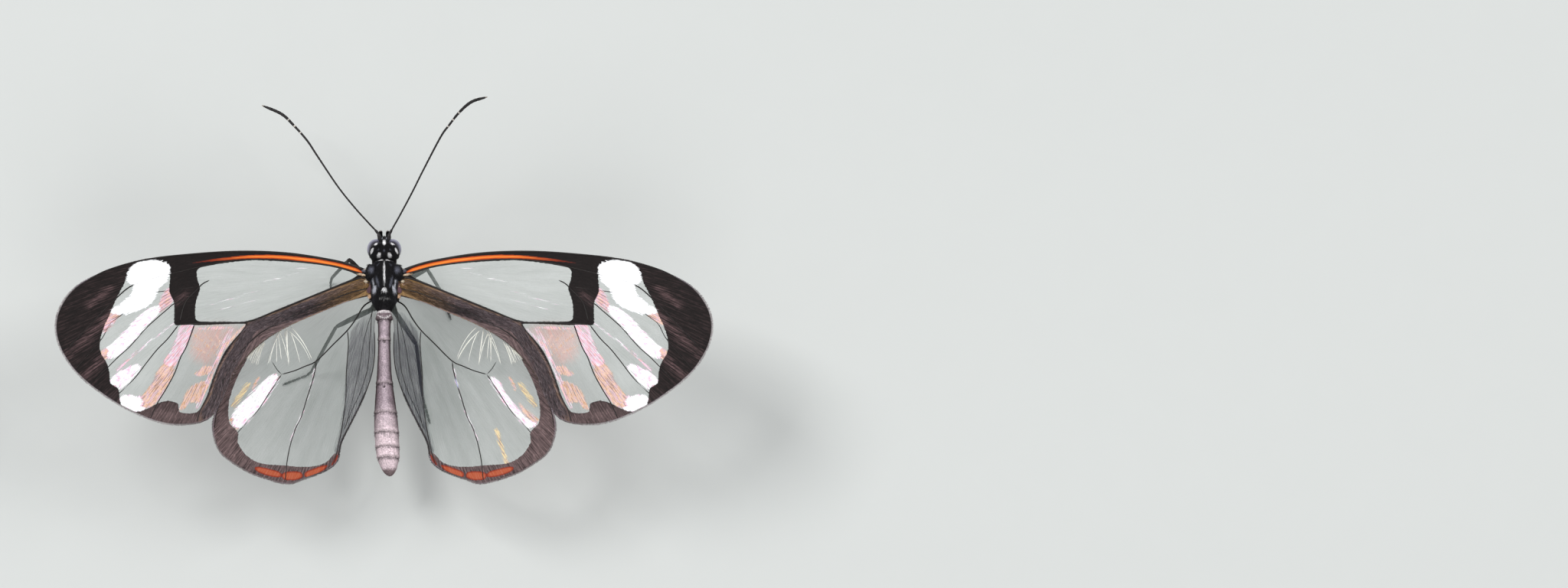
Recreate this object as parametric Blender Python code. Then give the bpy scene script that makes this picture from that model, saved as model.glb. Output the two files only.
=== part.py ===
# A clear-winged ithomiine butterfly at rest, wings spread, standing on four legs.
# Millimetres in the constants, metres in the mesh. Head towards +Y, back up.
# Heights below are measured from the top of the thorax, and y from its middle.
import math

import bmesh
import bpy
from mathutils import Vector
from mathutils.geometry import delaunay_2d_cdt

MM = 0.001
NAME = "ithomiine_butterfly"

GAP = 0.3                # space kept between two nodes
THORAX_TOP = 8.1         # height of the back over the floor
THORAX_Y = 1.3           # moves the thorax forward, so that the box is centred on the origin

# Thorax stations: y, half width, top, bottom
THORAX = [
    (1.60, 0.62, -0.45, -2.30),
    (1.30, 0.98, -0.18, -2.80),
    (0.70, 1.28, -0.03, -3.20),
    (-0.20, 1.38, 0.00, -3.35),
    (-1.10, 1.30, -0.05, -3.35),
    (-1.90, 1.06, -0.40, -3.15),
    (-2.60, 0.66, -1.05, -2.75),
]
THORAX_POWER = 2.5       # squareness of its cross section

# Head stations, between the eyes
HEAD = [
    (3.80, 0.32, -0.85, -1.60),
    (3.60, 0.50, -0.50, -1.90),
    (3.20, 0.58, -0.25, -2.10),
    (2.70, 0.58, -0.18, -2.20),
    (2.20, 0.56, -0.28, -2.15),
    (1.95, 0.42, -0.55, -1.95),
]
HEAD_POWER = 2.2

EYE_CENTRE = (0.72, 2.72, -1.12)
EYE_RADII = (0.78, 0.92, 0.95)

# Abdomen stations: y, x of the middle, top, half width, half height
ABDOMEN = [
    (-2.90, 0.00, -1.30, 0.62, 0.62),
    (-3.30, 0.00, -1.30, 0.74, 0.72),
    (-4.00, 0.00, -1.42, 0.58, 0.62),
    (-5.20, 0.00, -1.58, 0.56, 0.62),
    (-7.70, 0.00, -1.74, 0.64, 0.70),
    (-9.20, 0.03, -1.88, 0.78, 0.83),
    (-10.80, 0.09, -1.90, 0.95, 0.98),
    (-13.20, 0.20, -1.74, 1.10, 1.12),
    (-15.00, 0.31, -1.84, 1.06, 1.08),
    (-16.30, 0.41, -2.12, 0.76, 0.80),
    (-17.00, 0.47, -2.55, 0.28, 0.32),
]
SEGMENT_ENDS = [-3.7, -5.4, -7.4, -9.2, -11.6, -13.4, -14.6, -15.6, -16.4]
SEGMENT_GROOVE = 0.07    # depth of the groove between two rings
ABDOMEN_POWER = 2.1

# Wings, one side. A spread wing rises outwards, and flattens a little to its tip.
WING_THICKNESS = 0.5
RIM_THICKNESS = 0.42
VEIN_HEIGHT = 0.16       # of a vein's crest over each face
VEIN_WIDTH = 0.42        # from its crest to its foot
WING_ROOT_X = 1.8
WING_ROOT_HEIGHT = -0.64
WING_RISE = 0.32
WING_FLATTENING = 0.0021
WINGS_APART = 1.12       # from the forewing's middle surface to the hindwing's
FOLD_DROP = 1.3          # how far the hindwing sinks beside the abdomen
FOLD_REACH_X = 14.0
FOLD_START_Y = -1.6
FOLD_LENGTH = 15.0

FOREWING_OUTLINE = [
    (1.45, 0.75), (4.2, 1.5), (8.3, 1.9), (12.5, 1.8), (16.7, 1.3), (20.8, 0.6),
    (24.0, -0.55), (26.6, -2.1), (28.0, -4.0), (28.4, -6.0), (27.8, -8.1),
    (26.2, -10.2), (23.6, -12.1), (21.2, -13.3), (18.8, -14.0), (16.6, -13.9),
    (15.1, -13.3), (14.2, -12.0), (13.3, -9.9), (12.1, -8.0), (10.4, -6.2),
    (8.2, -4.7), (5.3, -3.2), (3.4, -2.25), (1.4, -1.35),
]
FOREWING_VEINS = {
    "costa": [(1.9, 0.6), (4.3, 1.15), (8.3, 1.5), (12.5, 1.4), (16.7, 0.9), (20.6, 0.15), (24.2, -1.1)],
    "radius": [(1.9, 0.3), (4.3, 0.6), (6.8, 0.85), (9.2, 0.8), (11.6, 0.6), (14.5, 0.0), (16.1, -0.6)],
    "radius_fork": [(16.1, -0.6), (18.5, -1.0), (21.2, -1.9), (23.6, -3.6), (27.0, -7.4)],
    "cell_end": [(16.1, -0.6), (16.0, -1.8), (17.2, -3.1), (17.8, -5.2)],
    "cell_close": [(17.8, -5.2), (16.4, -5.0)],
    "cubitus": [(1.9, -0.1), (6.5, -2.0), (9.2, -3.3), (11.8, -4.5), (16.4, -5.0)],
    "cubitus_1": [(16.4, -5.0), (17.6, -8.0), (18.8, -10.8), (20.1, -13.2)],
    "cubitus_2": [(11.8, -4.5), (13.0, -6.3), (14.3, -8.6), (15.2, -11.3), (16.2, -13.3)],
    "media_3": [(17.8, -5.2), (19.6, -7.3), (21.5, -10.0), (23.3, -11.7)],
    "media_2": [(17.2, -3.1), (19.6, -4.5), (21.9, -7.1), (25.6, -10.2)],
    "media_1": [(16.2, -2.2), (20.6, -2.6), (22.8, -4.5), (24.5, -6.6), (26.8, -8.8)],
    "anal": [(1.9, -0.9), (5.3, -2.5), (8.2, -4.0), (10.8, -5.6), (12.6, -7.6), (13.9, -9.9), (14.9, -12.2)],
}

HINDWING_OUTLINE = [
    (1.5, -1.25), (3.0, -1.9), (5.0, -2.8), (9.0, -4.5), (12.0, -6.9), (13.7, -9.8),
    (14.6, -12.2), (14.9, -14.0), (14.3, -15.9), (12.9, -17.0), (11.2, -17.8),
    (8.5, -18.35), (6.9, -17.8), (5.0, -16.9), (4.0, -15.9), (3.7, -14.2),
    (2.9, -12.5), (2.0, -10.3), (1.45, -8.3), (1.15, -6.0), (1.15, -4.2), (1.2, -2.9),
]
HINDWING_VEINS = {
    "costa": [(1.9, -1.7), (4.9, -3.2), (8.7, -4.9), (11.6, -7.2), (13.2, -10.0), (14.1, -12.4), (14.3, -14.2)],
    "stem": [(1.7, -2.1), (3.2, -4.4), (4.4, -5.7), (5.9, -7.3), (7.8, -8.3), (8.9, -8.7)],
    "cubitus_2": [(3.2, -4.4), (3.2, -8.3), (3.6, -13.1), (4.4, -16.1)],
    "cubitus_1": [(5.9, -7.3), (6.3, -9.3), (7.2, -12.3), (8.1, -14.7), (8.6, -17.8)],
    "media_2": [(8.9, -8.7), (10.8, -11.8), (12.4, -13.7), (13.9, -15.6)],
    "media_1": [(8.9, -8.7), (9.3, -8.3), (9.8, -7.4), (9.9, -6.0)],
    "media_3": [(7.8, -8.3), (8.7, -10.8), (9.6, -13.6), (10.9, -17.4)],
    "anal": [(1.6, -2.9), (1.6, -5.1), (1.9, -7.6), (2.5, -9.4), (3.3, -11.4)],
}
ROOT_POINTS = 5          # along the edge beside the thorax
ROOT_LEAST_X = 1.12
WING_STEP = 1.15         # spacing of the points along an outline or a vein
WING_GRID = 2.3          # spacing of the points between them

# Antennae: points from the head to the tip
ANTENNA_LEFT = [
    (-0.55, 4.02, -0.52), (-1.35, 4.95, -0.57), (-2.55, 6.35, -0.72), (-4.04, 8.32, -0.97),
    (-5.84, 11.16, -1.36), (-6.74, 12.60, -1.57), (-7.93, 14.04, -1.82), (-8.99, 15.09, -2.02),
    (-10.71, 15.93, -2.30),
]
ANTENNA_RIGHT = [
    (0.50, 4.02, -0.48), (1.34, 5.50, -0.09), (2.38, 7.33, 0.61), (3.42, 9.26, 1.50),
    (4.90, 11.84, 2.87), (5.64, 12.77, 3.46), (6.53, 13.76, 4.14), (7.60, 14.52, 4.85),
    (8.97, 14.78, 5.60),
]
ANTENNA_RADIUS = 0.25
CLUB_RADIUS = 0.30
ANTENNA_TIP_RADIUS = 0.16

# Legs: coxa, trochanter, knee, ankle, and the foot along the floor
FOOT_HEIGHT = -THORAX_TOP + 0.2
LEGS = {
    "midleg_left": [(-0.62, -0.2, -3.72), (-1.05, 0.15, -3.75), (-3.02, 2.05, -2.1),
                    (-4.60, 1.55, -7.2), (-4.72, 1.2, FOOT_HEIGHT), (-4.50, -0.7, FOOT_HEIGHT)],
    "midleg_right": [(0.62, -0.2, -3.72), (1.05, 0.0, -3.75), (3.72, 1.2, -2.1),
                     (4.95, 0.35, -7.2), (5.12, 0.0, FOOT_HEIGHT), (5.80, -1.9, FOOT_HEIGHT)],
    "hindleg_left": [(-0.55, -1.65, -3.70), (-1.0, -2.0, -3.80), (-4.20, -3.9, -2.45),
                     (-6.35, -6.8, -7.3), (-6.75, -7.0, FOOT_HEIGHT), (-8.75, -7.8, FOOT_HEIGHT)],
    "hindleg_right": [(0.55, -1.65, -3.70), (0.90, -2.2, -3.80), (2.80, -5.4, -2.85),
                      (3.28, -8.5, -7.3), (3.35, -8.9, FOOT_HEIGHT), (3.95, -11.2, FOOT_HEIGHT)],
}
LEG_RADII = [0.34, 0.30, 0.25, 0.25, 0.25, 0.22]
KNEE_ROUNDING = 0.45

# The small forelegs, folded under the neck
FORELEG = [(0.50, 0.95, -3.52), (0.85, 1.55, -3.60), (0.95, 2.55, -3.15), (0.75, 3.20, -2.85)]
FORELEG_RADII = [0.26, 0.25, 0.25, 0.20]

PALP = [(0.34, 3.62, -2.45), (0.36, 4.05, -2.15), (0.34, 4.30, -1.60), (0.30, 4.30, -1.05)]
PALP_RADII = [0.22, 0.25, 0.24, 0.14]

PROBOSCIS_CENTRE = (0.0, 3.15, -2.95)
PROBOSCIS_RADIUS = 0.34
PROBOSCIS_THICKNESS = 0.13

BODY_SIDES = 20
COLOURS = {
    "body": (0.035, 0.028, 0.030), "abdomen": (0.30, 0.25, 0.28), "eye": (0.02, 0.015, 0.03),
    "wing": (0.20, 0.17, 0.15), "limb": (0.03, 0.028, 0.028),
}
ROUGHNESS = {"body": 0.6, "abdomen": 0.6, "eye": 0.15, "wing": 0.3, "limb": 0.5}


def to_world(x, y, z):
    return Vector((x, y + THORAX_Y, z + THORAX_TOP)) * MM


def clear_scene():
    for obj in list(bpy.data.objects):
        bpy.data.objects.remove(obj, do_unlink=True)


def make_material(kind):
    material = bpy.data.materials.get(kind) or bpy.data.materials.new(kind)
    material.use_nodes = True
    shader = material.node_tree.nodes["Principled BSDF"]
    shader.inputs["Base Color"].default_value = (*COLOURS[kind], 1.0)
    shader.inputs["Roughness"].default_value = ROUGHNESS[kind]
    shader.inputs["Metallic"].default_value = 0.0
    return material


def finish_object(name, mesh_data, kind, parts):
    obj = bpy.data.objects.new(name, mesh_data)
    parts.objects.link(obj)
    mesh_data.materials.clear()
    mesh_data.materials.append(make_material(kind))
    mesh_data.shade_smooth()
    mesh_data.set_sharp_from_angle(angle=math.radians(40))
    return obj


def mesh_from(bm, name):
    mesh_data = bpy.data.meshes.new(name)
    bm.to_mesh(mesh_data)
    bm.free()
    return mesh_data


def close_object(bm, name, kind, parts):
    bmesh.ops.recalc_face_normals(bm, faces=bm.faces)
    bmesh.ops.triangulate(bm, faces=bm.faces)
    if bm.calc_volume(signed=True) < 0:
        bmesh.ops.reverse_faces(bm, faces=bm.faces)
    return finish_object(name, mesh_from(bm, name), kind, parts)


def catmull_point(p0, p1, p2, p3, t):
    return 0.5 * (2 * p1 + (p2 - p0) * t + (2 * p0 - 5 * p1 + 4 * p2 - p3) * t * t
                  + (3 * p1 - p0 - 3 * p2 + p3) * t ** 3)


def smooth_path(points, step, closed=False):
    # Points a step apart on a smooth curve through the given points
    knots = [Vector(p) for p in points]
    count = len(knots)
    path = []
    for i in range(count if closed else count - 1):
        p1, p2 = knots[i], knots[(i + 1) % count]
        p0 = knots[i - 1] if closed or i > 0 else 2 * p1 - p2
        p3 = knots[(i + 2) % count] if closed or i + 2 < count else 2 * p2 - p1
        pieces = max(1, round((p2 - p1).length / step))
        path += [catmull_point(p0, p1, p2, p3, k / pieces) for k in range(pieces)]
    if not closed:
        path.append(knots[-1])
    return path


def at_station(stations, y):
    # The values of a list of stations, smoothly between them, at one y
    ys = [row[0] for row in stations]
    y = min(max(y, ys[-1]), ys[0])
    i = max(k for k in range(len(ys) - 1) if ys[k] >= y)
    t = (ys[i] - y) / (ys[i] - ys[i + 1])
    rows = [Vector(stations[min(max(k, 0), len(ys) - 1)][1:]) for k in range(i - 1, i + 3)]
    return catmull_point(*rows, t)


def ring(bm, centre, half_width, half_height, power, sides):
    # A closed loop of points round the y axis, an ellipse squared off by the power
    verts = []
    for k in range(sides):
        a = 2 * math.pi * k / sides
        c, s = math.cos(a), math.sin(a)
        x = half_width * math.copysign(abs(c) ** (2 / power), c)
        z = half_height * math.copysign(abs(s) ** (2 / power), s)
        verts.append(bm.verts.new(to_world(centre[0] + x, centre[1], centre[2] + z)))
    return verts


def loft(name, sections, power, kind, parts, sides=BODY_SIDES):
    # sections: middle, half width and half height of each ring, front to back
    bm = bmesh.new()
    rings = [ring(bm, centre, w, h, power, sides) for centre, w, h in sections]
    for front, back in zip(rings, rings[1:]):
        for k in range(sides):
            n = (k + 1) % sides
            bm.faces.new((front[k], front[n], back[n], back[k]))
    for end in (rings[0], rings[-1]):
        cap = bm.faces.new(end)
        bmesh.ops.poke(bm, faces=[cap])
    return close_object(bm, name, kind, parts)


def body_of_stations(name, stations, power, rings, kind, parts):
    first, last = stations[0][0], stations[-1][0]
    sections = []
    for k in range(rings):
        y = first + (last - first) * k / (rings - 1)
        half_width, top, bottom = at_station(stations, y)
        sections.append(((0.0, y, (top + bottom) / 2), half_width, (top - bottom) / 2))
    return loft(name, sections, power, kind, parts)


def thorax_half_width(y, z):
    # Half width of the thorax at a height, for the wing roots
    half_width, top, bottom = at_station(THORAX, y)
    up = abs(z - (top + bottom) / 2) / ((top - bottom) / 2)
    return half_width * max(0.0, 1 - up ** THORAX_POWER) ** (1 / THORAX_POWER)


def segment_shrink(y):
    near = min(abs(y - end) for end in SEGMENT_ENDS)
    return SEGMENT_GROOVE * math.exp(-(near / 0.14) ** 2)


def build_abdomen(parts):
    first, last = ABDOMEN[0][0], ABDOMEN[-1][0]
    ys = [first, first - 0.25]
    for start, end in zip(SEGMENT_ENDS, SEGMENT_ENDS[1:] + [last]):
        pieces = max(2, round((start - end) / 0.75))
        ys += [start + 0.2, start, start - 0.2]
        ys += [start + (end - start) * k / pieces for k in range(1, pieces)]
    ys = sorted((y for y in ys if y > last + 0.12), reverse=True) + [last]
    sections = []
    for y in ys:
        x, top, half_width, half_height = at_station(ABDOMEN, y)
        shrink = segment_shrink(y)
        sections.append(((x, y, top - half_height), half_width - shrink, half_height - shrink))
    return loft("abdomen", sections, ABDOMEN_POWER, "abdomen", parts)


def build_eye(name, side, parts):
    # The outer part of a ball, cut flat where it faces the head
    bm = bmesh.new()
    bmesh.ops.create_uvsphere(bm, u_segments=18, v_segments=12, radius=1.0)
    cut_x = at_station(HEAD, EYE_CENTRE[1])[0] + GAP
    for vert in bm.verts:
        x, y, z = (c + r * v for c, r, v in zip(EYE_CENTRE, EYE_RADII, vert.co))
        vert.co = to_world(x, y, z)
    cut = bmesh.ops.bisect_plane(bm, geom=bm.verts[:] + bm.edges[:] + bm.faces[:], dist=1e-7,
                                 plane_co=(cut_x * MM, 0, 0), plane_no=(1, 0, 0), clear_inner=True)
    rim = [e for e in cut["geom_cut"] if isinstance(e, bmesh.types.BMEdge)]
    bmesh.ops.contextual_create(bm, geom=rim)
    for vert in bm.verts:
        vert.co.x *= side
    return close_object(bm, name, "eye", parts)


def tube_mesh(name, path, radii, parts):
    # A tapered tube along a path, as a curve made into a mesh
    curve = bpy.data.curves.new(name, "CURVE")
    curve.dimensions = "3D"
    curve.bevel_depth = MM
    curve.bevel_resolution = 2
    curve.use_fill_caps = True
    spline = curve.splines.new("POLY")
    spline.points.add(len(path) - 1)
    for point, place, radius in zip(spline.points, path, radii):
        point.co = (*to_world(*place), 1.0)
        point.radius = radius
    guide = bpy.data.objects.new(name + "_path", curve)
    parts.objects.link(guide)
    graph = bpy.context.evaluated_depsgraph_get()
    mesh_data = bpy.data.meshes.new_from_object(guide.evaluated_get(graph))
    bpy.data.objects.remove(guide, do_unlink=True)
    bm = bmesh.new()
    bm.from_mesh(mesh_data)
    bmesh.ops.remove_doubles(bm, verts=bm.verts, dist=0.00001)
    bpy.data.meshes.remove(mesh_data)
    return bm


def rounded_corners(points, radii, rounding, steps=3):
    # Straight runs with each corner turned into a short curve
    path, sizes = [Vector(points[0])], [radii[0]]
    for i in range(1, len(points) - 1):
        before, corner, after = Vector(points[i - 1]), Vector(points[i]), Vector(points[i + 1])
        cut = min(rounding, (corner - before).length * 0.4, (after - corner).length * 0.4)
        start = corner + (before - corner).normalized() * cut
        end = corner + (after - corner).normalized() * cut
        for k in range(steps + 1):
            t = k / steps
            path.append(start * (1 - t) ** 2 + corner * 2 * t * (1 - t) + end * t * t)
            sizes.append(radii[i])
    return path + [Vector(points[-1])], sizes + [radii[-1]]


def build_leg(name, points, radii, parts):
    path, sizes = rounded_corners(points, radii, KNEE_ROUNDING)
    bm = tube_mesh(name, path, sizes, parts)
    # What would reach under the floor is cut off flat
    cut = bmesh.ops.bisect_plane(bm, geom=bm.verts[:] + bm.edges[:] + bm.faces[:], dist=1e-7,
                                 plane_co=(0, 0, 0), plane_no=(0, 0, 1), clear_inner=True)
    rim = [e for e in cut["geom_cut"] if isinstance(e, bmesh.types.BMEdge)]
    if rim:
        bmesh.ops.holes_fill(bm, edges=rim, sides=0)
    return close_object(bm, name, "limb", parts)


def build_antenna(name, points, parts):
    path = smooth_path(points, 1.1)
    last = len(path) - 1
    radii = []
    for k in range(last + 1):
        along = k / last
        club = math.exp(-((along - 0.9) / 0.14) ** 2)
        radii.append(ANTENNA_RADIUS + (CLUB_RADIUS - ANTENNA_RADIUS) * club)
    radii[-1] = ANTENNA_TIP_RADIUS
    return close_object(tube_mesh(name, path, radii, parts), name, "limb", parts)


def build_palp(name, side, parts):
    points = [(x * side, y, z) for x, y, z in PALP]
    path = smooth_path(points, 0.25)
    radii = [at_list(PALP_RADII, k / (len(path) - 1)) for k in range(len(path))]
    return close_object(tube_mesh(name, path, radii, parts), name, "body", parts)


def at_list(values, t):
    place = t * (len(values) - 1)
    i = min(int(place), len(values) - 2)
    return values[i] + (values[i + 1] - values[i]) * (place - i)


def build_proboscis(parts):
    # Rolled up under the head
    steps = 18
    path, radii = [], []
    for k in range(steps + 1):
        a = math.radians(20 + 305 * k / steps)
        y = PROBOSCIS_CENTRE[1] + PROBOSCIS_RADIUS * math.cos(a)
        z = PROBOSCIS_CENTRE[2] + PROBOSCIS_RADIUS * math.sin(a)
        path.append((0.0, y, z))
        radii.append(PROBOSCIS_THICKNESS)
    bm = tube_mesh("proboscis", path, radii, parts)
    return close_object(bm, "proboscis", "limb", parts)


def forewing_height(x, y):
    out = x - WING_ROOT_X
    return WING_ROOT_HEIGHT + WING_RISE * out - WING_FLATTENING * out * out


def hindwing_height(x, y):
    inward = max(0.0, 1 - x / FOLD_REACH_X)
    back = max(0.0, FOLD_START_Y - y) / FOLD_LENGTH
    return forewing_height(x, y) - WINGS_APART - FOLD_DROP * inward * back


def distance_to_line(point, line):
    best = 1e9
    for a, b in zip(line, line[1:]):
        run = b - a
        t = min(1.0, max(0.0, (point - a).dot(run) / max(run.length_squared, 1e-12)))
        best = min(best, (a + run * t - point).length)
    return best


def is_inside(point, outline):
    inside = False
    for a, b in zip(outline, outline[1:] + outline[:1]):
        if (a.y > point.y) != (b.y > point.y):
            if point.x < a.x + (point.y - a.y) * (b.x - a.x) / (b.y - a.y):
                inside = not inside
    return inside


def root_edge(front, rear, height):
    # The edge of a wing that lies beside the thorax, a gap away from its side
    edge = []
    for k in range(ROOT_POINTS):
        y = rear + (front - rear) * k / (ROOT_POINTS - 1)
        near = WING_ROOT_X
        for _ in range(4):
            near = thorax_half_width(y, height(near, y)) + GAP
        edge.append(Vector((max(near, ROOT_LEAST_X), y)))
    return edge


def build_wing(name, side, outline_points, vein_points, height, parts):
    # One sheet of triangles, used for both faces, with the veins raised in it
    edge = root_edge(outline_points[0][1], outline_points[-1][1], height)
    margin = [edge[-1]] + [Vector(p) for p in outline_points[1:-1]] + [edge[0]]
    outline = smooth_path(margin, WING_STEP) + edge[1:-1]
    rim_line = outline + outline[:1]
    veins = [smooth_path(points, WING_STEP) for points in vein_points.values()]
    points = list(outline)
    edges = []

    def add_point(point, apart):
        for i, other in enumerate(points):
            if (other - point).length < apart:
                return i if i >= len(outline) else None
        if not is_inside(point, outline) or distance_to_line(point, rim_line) < apart:
            return None
        points.append(point)
        return len(points) - 1

    for vein in veins:
        last = None
        for point in vein:
            index = add_point(point, 0.22)
            if index is not None and last is not None and index != last:
                edges.append((last, index))
            last = index if index is not None else last
    for vein in veins:
        for before, point, after in zip(vein, vein[1:], vein[2:]):
            along = (after - before).normalized()
            across = Vector((-along.y, along.x)) * VEIN_WIDTH
            for offset in (across, -across):
                place = point + offset
                if min(distance_to_line(place, other) for other in veins) > VEIN_WIDTH * 0.8:
                    add_point(place, 0.3)
    xs = [p.x for p in outline]
    ys = [p.y for p in outline]
    rows = int((max(ys) - min(ys)) / WING_GRID)
    columns = int((max(xs) - min(xs)) / WING_GRID)
    for i in range(columns):
        for j in range(rows):
            shift = 0.5 * (i % 2)
            add_point(Vector((min(xs) + (i + 0.5) * WING_GRID, min(ys) + (j + shift) * WING_GRID)), 0.9)

    border = list(range(len(outline)))
    verts, _, faces, *_ = delaunay_2d_cdt(points, edges, [border], 1, 1e-6)
    bm = bmesh.new()
    upper, lower = [], []
    for i, point in enumerate(verts):
        rim = distance_to_line(point, rim_line) < 0.02
        near = min(distance_to_line(point, vein) for vein in veins)
        half = RIM_THICKNESS / 2 if rim else WING_THICKNESS / 2
        half += VEIN_HEIGHT * max(0.0, 1 - near / VEIN_WIDTH) * (0.4 if rim else 1.0)
        middle = height(point.x, point.y)
        upper.append(bm.verts.new(to_world(point.x * side, point.y, middle + half)))
        lower.append(bm.verts.new(to_world(point.x * side, point.y, middle - half)))
    uses = {}
    for face in faces:
        bm.faces.new([upper[i] for i in face])
        bm.faces.new([lower[i] for i in reversed(face)])
        for a, b in zip(face, list(face[1:]) + [face[0]]):
            uses[(a, b)] = uses.get((a, b), 0) + 1
    for a, b in uses:
        if (b, a) not in uses:
            bm.faces.new((upper[a], lower[a], lower[b], upper[b]))
    return close_object(bm, name, "wing", parts)


def main():
    clear_scene()
    parts = bpy.data.collections.new(NAME)
    bpy.context.scene.collection.children.link(parts)

    body_of_stations("thorax", THORAX, THORAX_POWER, 15, "body", parts)
    body_of_stations("head", HEAD, HEAD_POWER, 11, "body", parts)
    build_abdomen(parts)
    build_proboscis(parts)
    for side, word in ((-1, "left"), (1, "right")):
        build_eye("eye_" + word, side, parts)
        build_palp("palp_" + word, side, parts)
        foreleg = [(x * side, y, z) for x, y, z in FORELEG]
        build_leg("foreleg_" + word, foreleg, FORELEG_RADII, parts)
        build_wing("forewing_" + word, side, FOREWING_OUTLINE, FOREWING_VEINS,
                   forewing_height, parts)
        build_wing("hindwing_" + word, side, HINDWING_OUTLINE, HINDWING_VEINS,
                   hindwing_height, parts)
    build_antenna("antenna_left", ANTENNA_LEFT, parts)
    build_antenna("antenna_right", ANTENNA_RIGHT, parts)
    for name, points in LEGS.items():
        build_leg(name, points, LEG_RADII, parts)


main()
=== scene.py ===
# Looks of a clear-winged ithomiine butterfly.
# Places are in mm: x to its right, y forwards from the middle of the thorax, z up from the back.
import math
from functools import partial

import bmesh
import bpy
import numpy as np
from mathutils import Matrix, Vector


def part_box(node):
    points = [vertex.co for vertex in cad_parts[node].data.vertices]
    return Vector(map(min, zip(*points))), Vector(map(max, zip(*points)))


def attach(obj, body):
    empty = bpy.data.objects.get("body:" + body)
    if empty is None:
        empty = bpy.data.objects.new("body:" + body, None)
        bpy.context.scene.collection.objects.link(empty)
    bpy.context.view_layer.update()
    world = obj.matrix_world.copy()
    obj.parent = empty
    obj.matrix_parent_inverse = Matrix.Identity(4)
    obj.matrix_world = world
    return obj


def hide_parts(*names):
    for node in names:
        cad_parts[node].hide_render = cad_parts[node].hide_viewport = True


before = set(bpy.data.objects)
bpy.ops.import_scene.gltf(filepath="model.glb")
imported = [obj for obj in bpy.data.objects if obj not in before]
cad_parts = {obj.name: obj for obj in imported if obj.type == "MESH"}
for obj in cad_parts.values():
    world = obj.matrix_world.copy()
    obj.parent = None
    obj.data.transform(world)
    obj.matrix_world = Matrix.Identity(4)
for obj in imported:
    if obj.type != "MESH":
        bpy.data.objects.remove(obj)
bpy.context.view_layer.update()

mm = 0.001
thoraxFront = 1.6                                    # how far its front end lies from its middle
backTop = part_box("thorax")[1].z / mm
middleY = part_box("thorax")[1].y / mm - thoraxFront
origin = (0.0, middleY, backTop)
sides = ((1, "Right"), (-1, "Left"))
rng = np.random.default_rng(11)
finish = {}                                          # the materials, filled by makeFinishes

studio = {
    "cameraDistance": 1000, "cameraTilt": 12.8, "viewWidth": 136.5, "sensor": 36,
    "aimRight": 34.8, "aimUp": -1.47,
    "floorSize": 8000, "floorColour": (0.58, 0.595, 0.58),
    "skyColour": (0.95, 0.97, 1.0), "skyStrength": 0.46,
    # x, y, z in mm, edge length in mm, watts
    "lights": {
        "softboxLeft": ((-520, 330, 760), 380, 5.6),
        "softboxRight": ((600, 240, 700), 420, 3.1),
        "softboxFront": ((60, -640, 620), 500, 2.2),
    },
}


def toWorld(places):
    # rows of mm places to metres in the frame's axes
    return (np.asarray(places, float) + origin) * mm


def onSide(places, side):
    # places of the right side, mirrored for the left
    return np.array(places) * (side, 1, 1)


def clamp(value):
    return np.clip(value, 0, 1)


def smoothLine(points, step, closed=False):
    # points a step apart on a smooth curve through the given ones
    knots = np.array(points, float)
    count = len(knots)
    path = []
    for i in range(count if closed else count - 1):
        p1, p2 = knots[i], knots[(i + 1) % count]
        p0 = knots[i - 1] if closed or i else 2 * p1 - p2
        p3 = knots[(i + 2) % count] if closed or i + 2 < count else 2 * p2 - p1
        pieces = max(1, round(float(np.linalg.norm(p2 - p1)) / step))
        for k in range(pieces):
            t = k / pieces
            path.append(0.5 * (2 * p1 + (p2 - p0) * t + (2 * p0 - 5 * p1 + 4 * p2 - p3) * t * t
                               + (3 * p1 - p0 - 3 * p2 + p3) * t ** 3))
    if not closed:
        path.append(knots[-1])
    return np.array(path)


def reachAlong(line):
    # how far along a line each of its points lies
    return np.concatenate(([0.0], np.cumsum(np.linalg.norm(np.diff(line, axis=0), axis=1))))


def alongLine(line, share):
    # places at the given shares of a line's length
    reach = reachAlong(line)
    at = np.asarray(share) * reach[-1]
    return np.stack([np.interp(at, reach, column) for column in line.T], axis=-1)


def placesOn(line, share, step):
    # places at the given shares of a line, and the way it runs there
    places = alongLine(line, share)
    return places, unit(alongLine(line, np.minimum(share + step, 1.0)) - places + 1e-9)


def lineGaps(places, line):
    # for each length of a line, where on it each place lies nearest, from 0 to 1, and how far off
    for a, b in zip(line[:, :2], line[1:, :2]):
        run = b - a
        t = clamp((places - a) @ run / max(run @ run, 1e-12))
        yield t, np.linalg.norm(places - a - t[:, None] * run, axis=1)


def lineDistance(places, line):
    best = np.full(len(places), 1e9)
    for _, gap in lineGaps(places, line):
        best = np.minimum(best, gap)
    return best


def stripeBy(places, rows):
    # how far each place lies inside a line whose half width changes along it
    line = smoothLine(rows, 0.25)
    best = np.full(len(places), -1e9)
    for (t, gap), a, b in zip(lineGaps(places, line), line[:, 2], line[1:, 2]):
        best = np.maximum(best, a + (b - a) * t - gap)
    return best


def insideBy(places, corners):
    # how far each place lies inside a closed outline, below zero outside it
    ring = np.vstack((corners, corners[:1]))
    inside = np.zeros(len(places), bool)
    for a, b in zip(ring, ring[1:]):
        if a[1] == b[1]:
            continue
        crosses = (a[1] > places[:, 1]) != (b[1] > places[:, 1])
        at = a[0] + (places[:, 1] - a[1]) * (b[0] - a[0]) / (b[1] - a[1])
        inside ^= crosses & (places[:, 0] < at)
    return np.where(inside, 1.0, -1.0) * lineDistance(places, ring)


def insideCurve(places, points):
    return insideBy(places, smoothLine(points, 0.3, closed=True))


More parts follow.
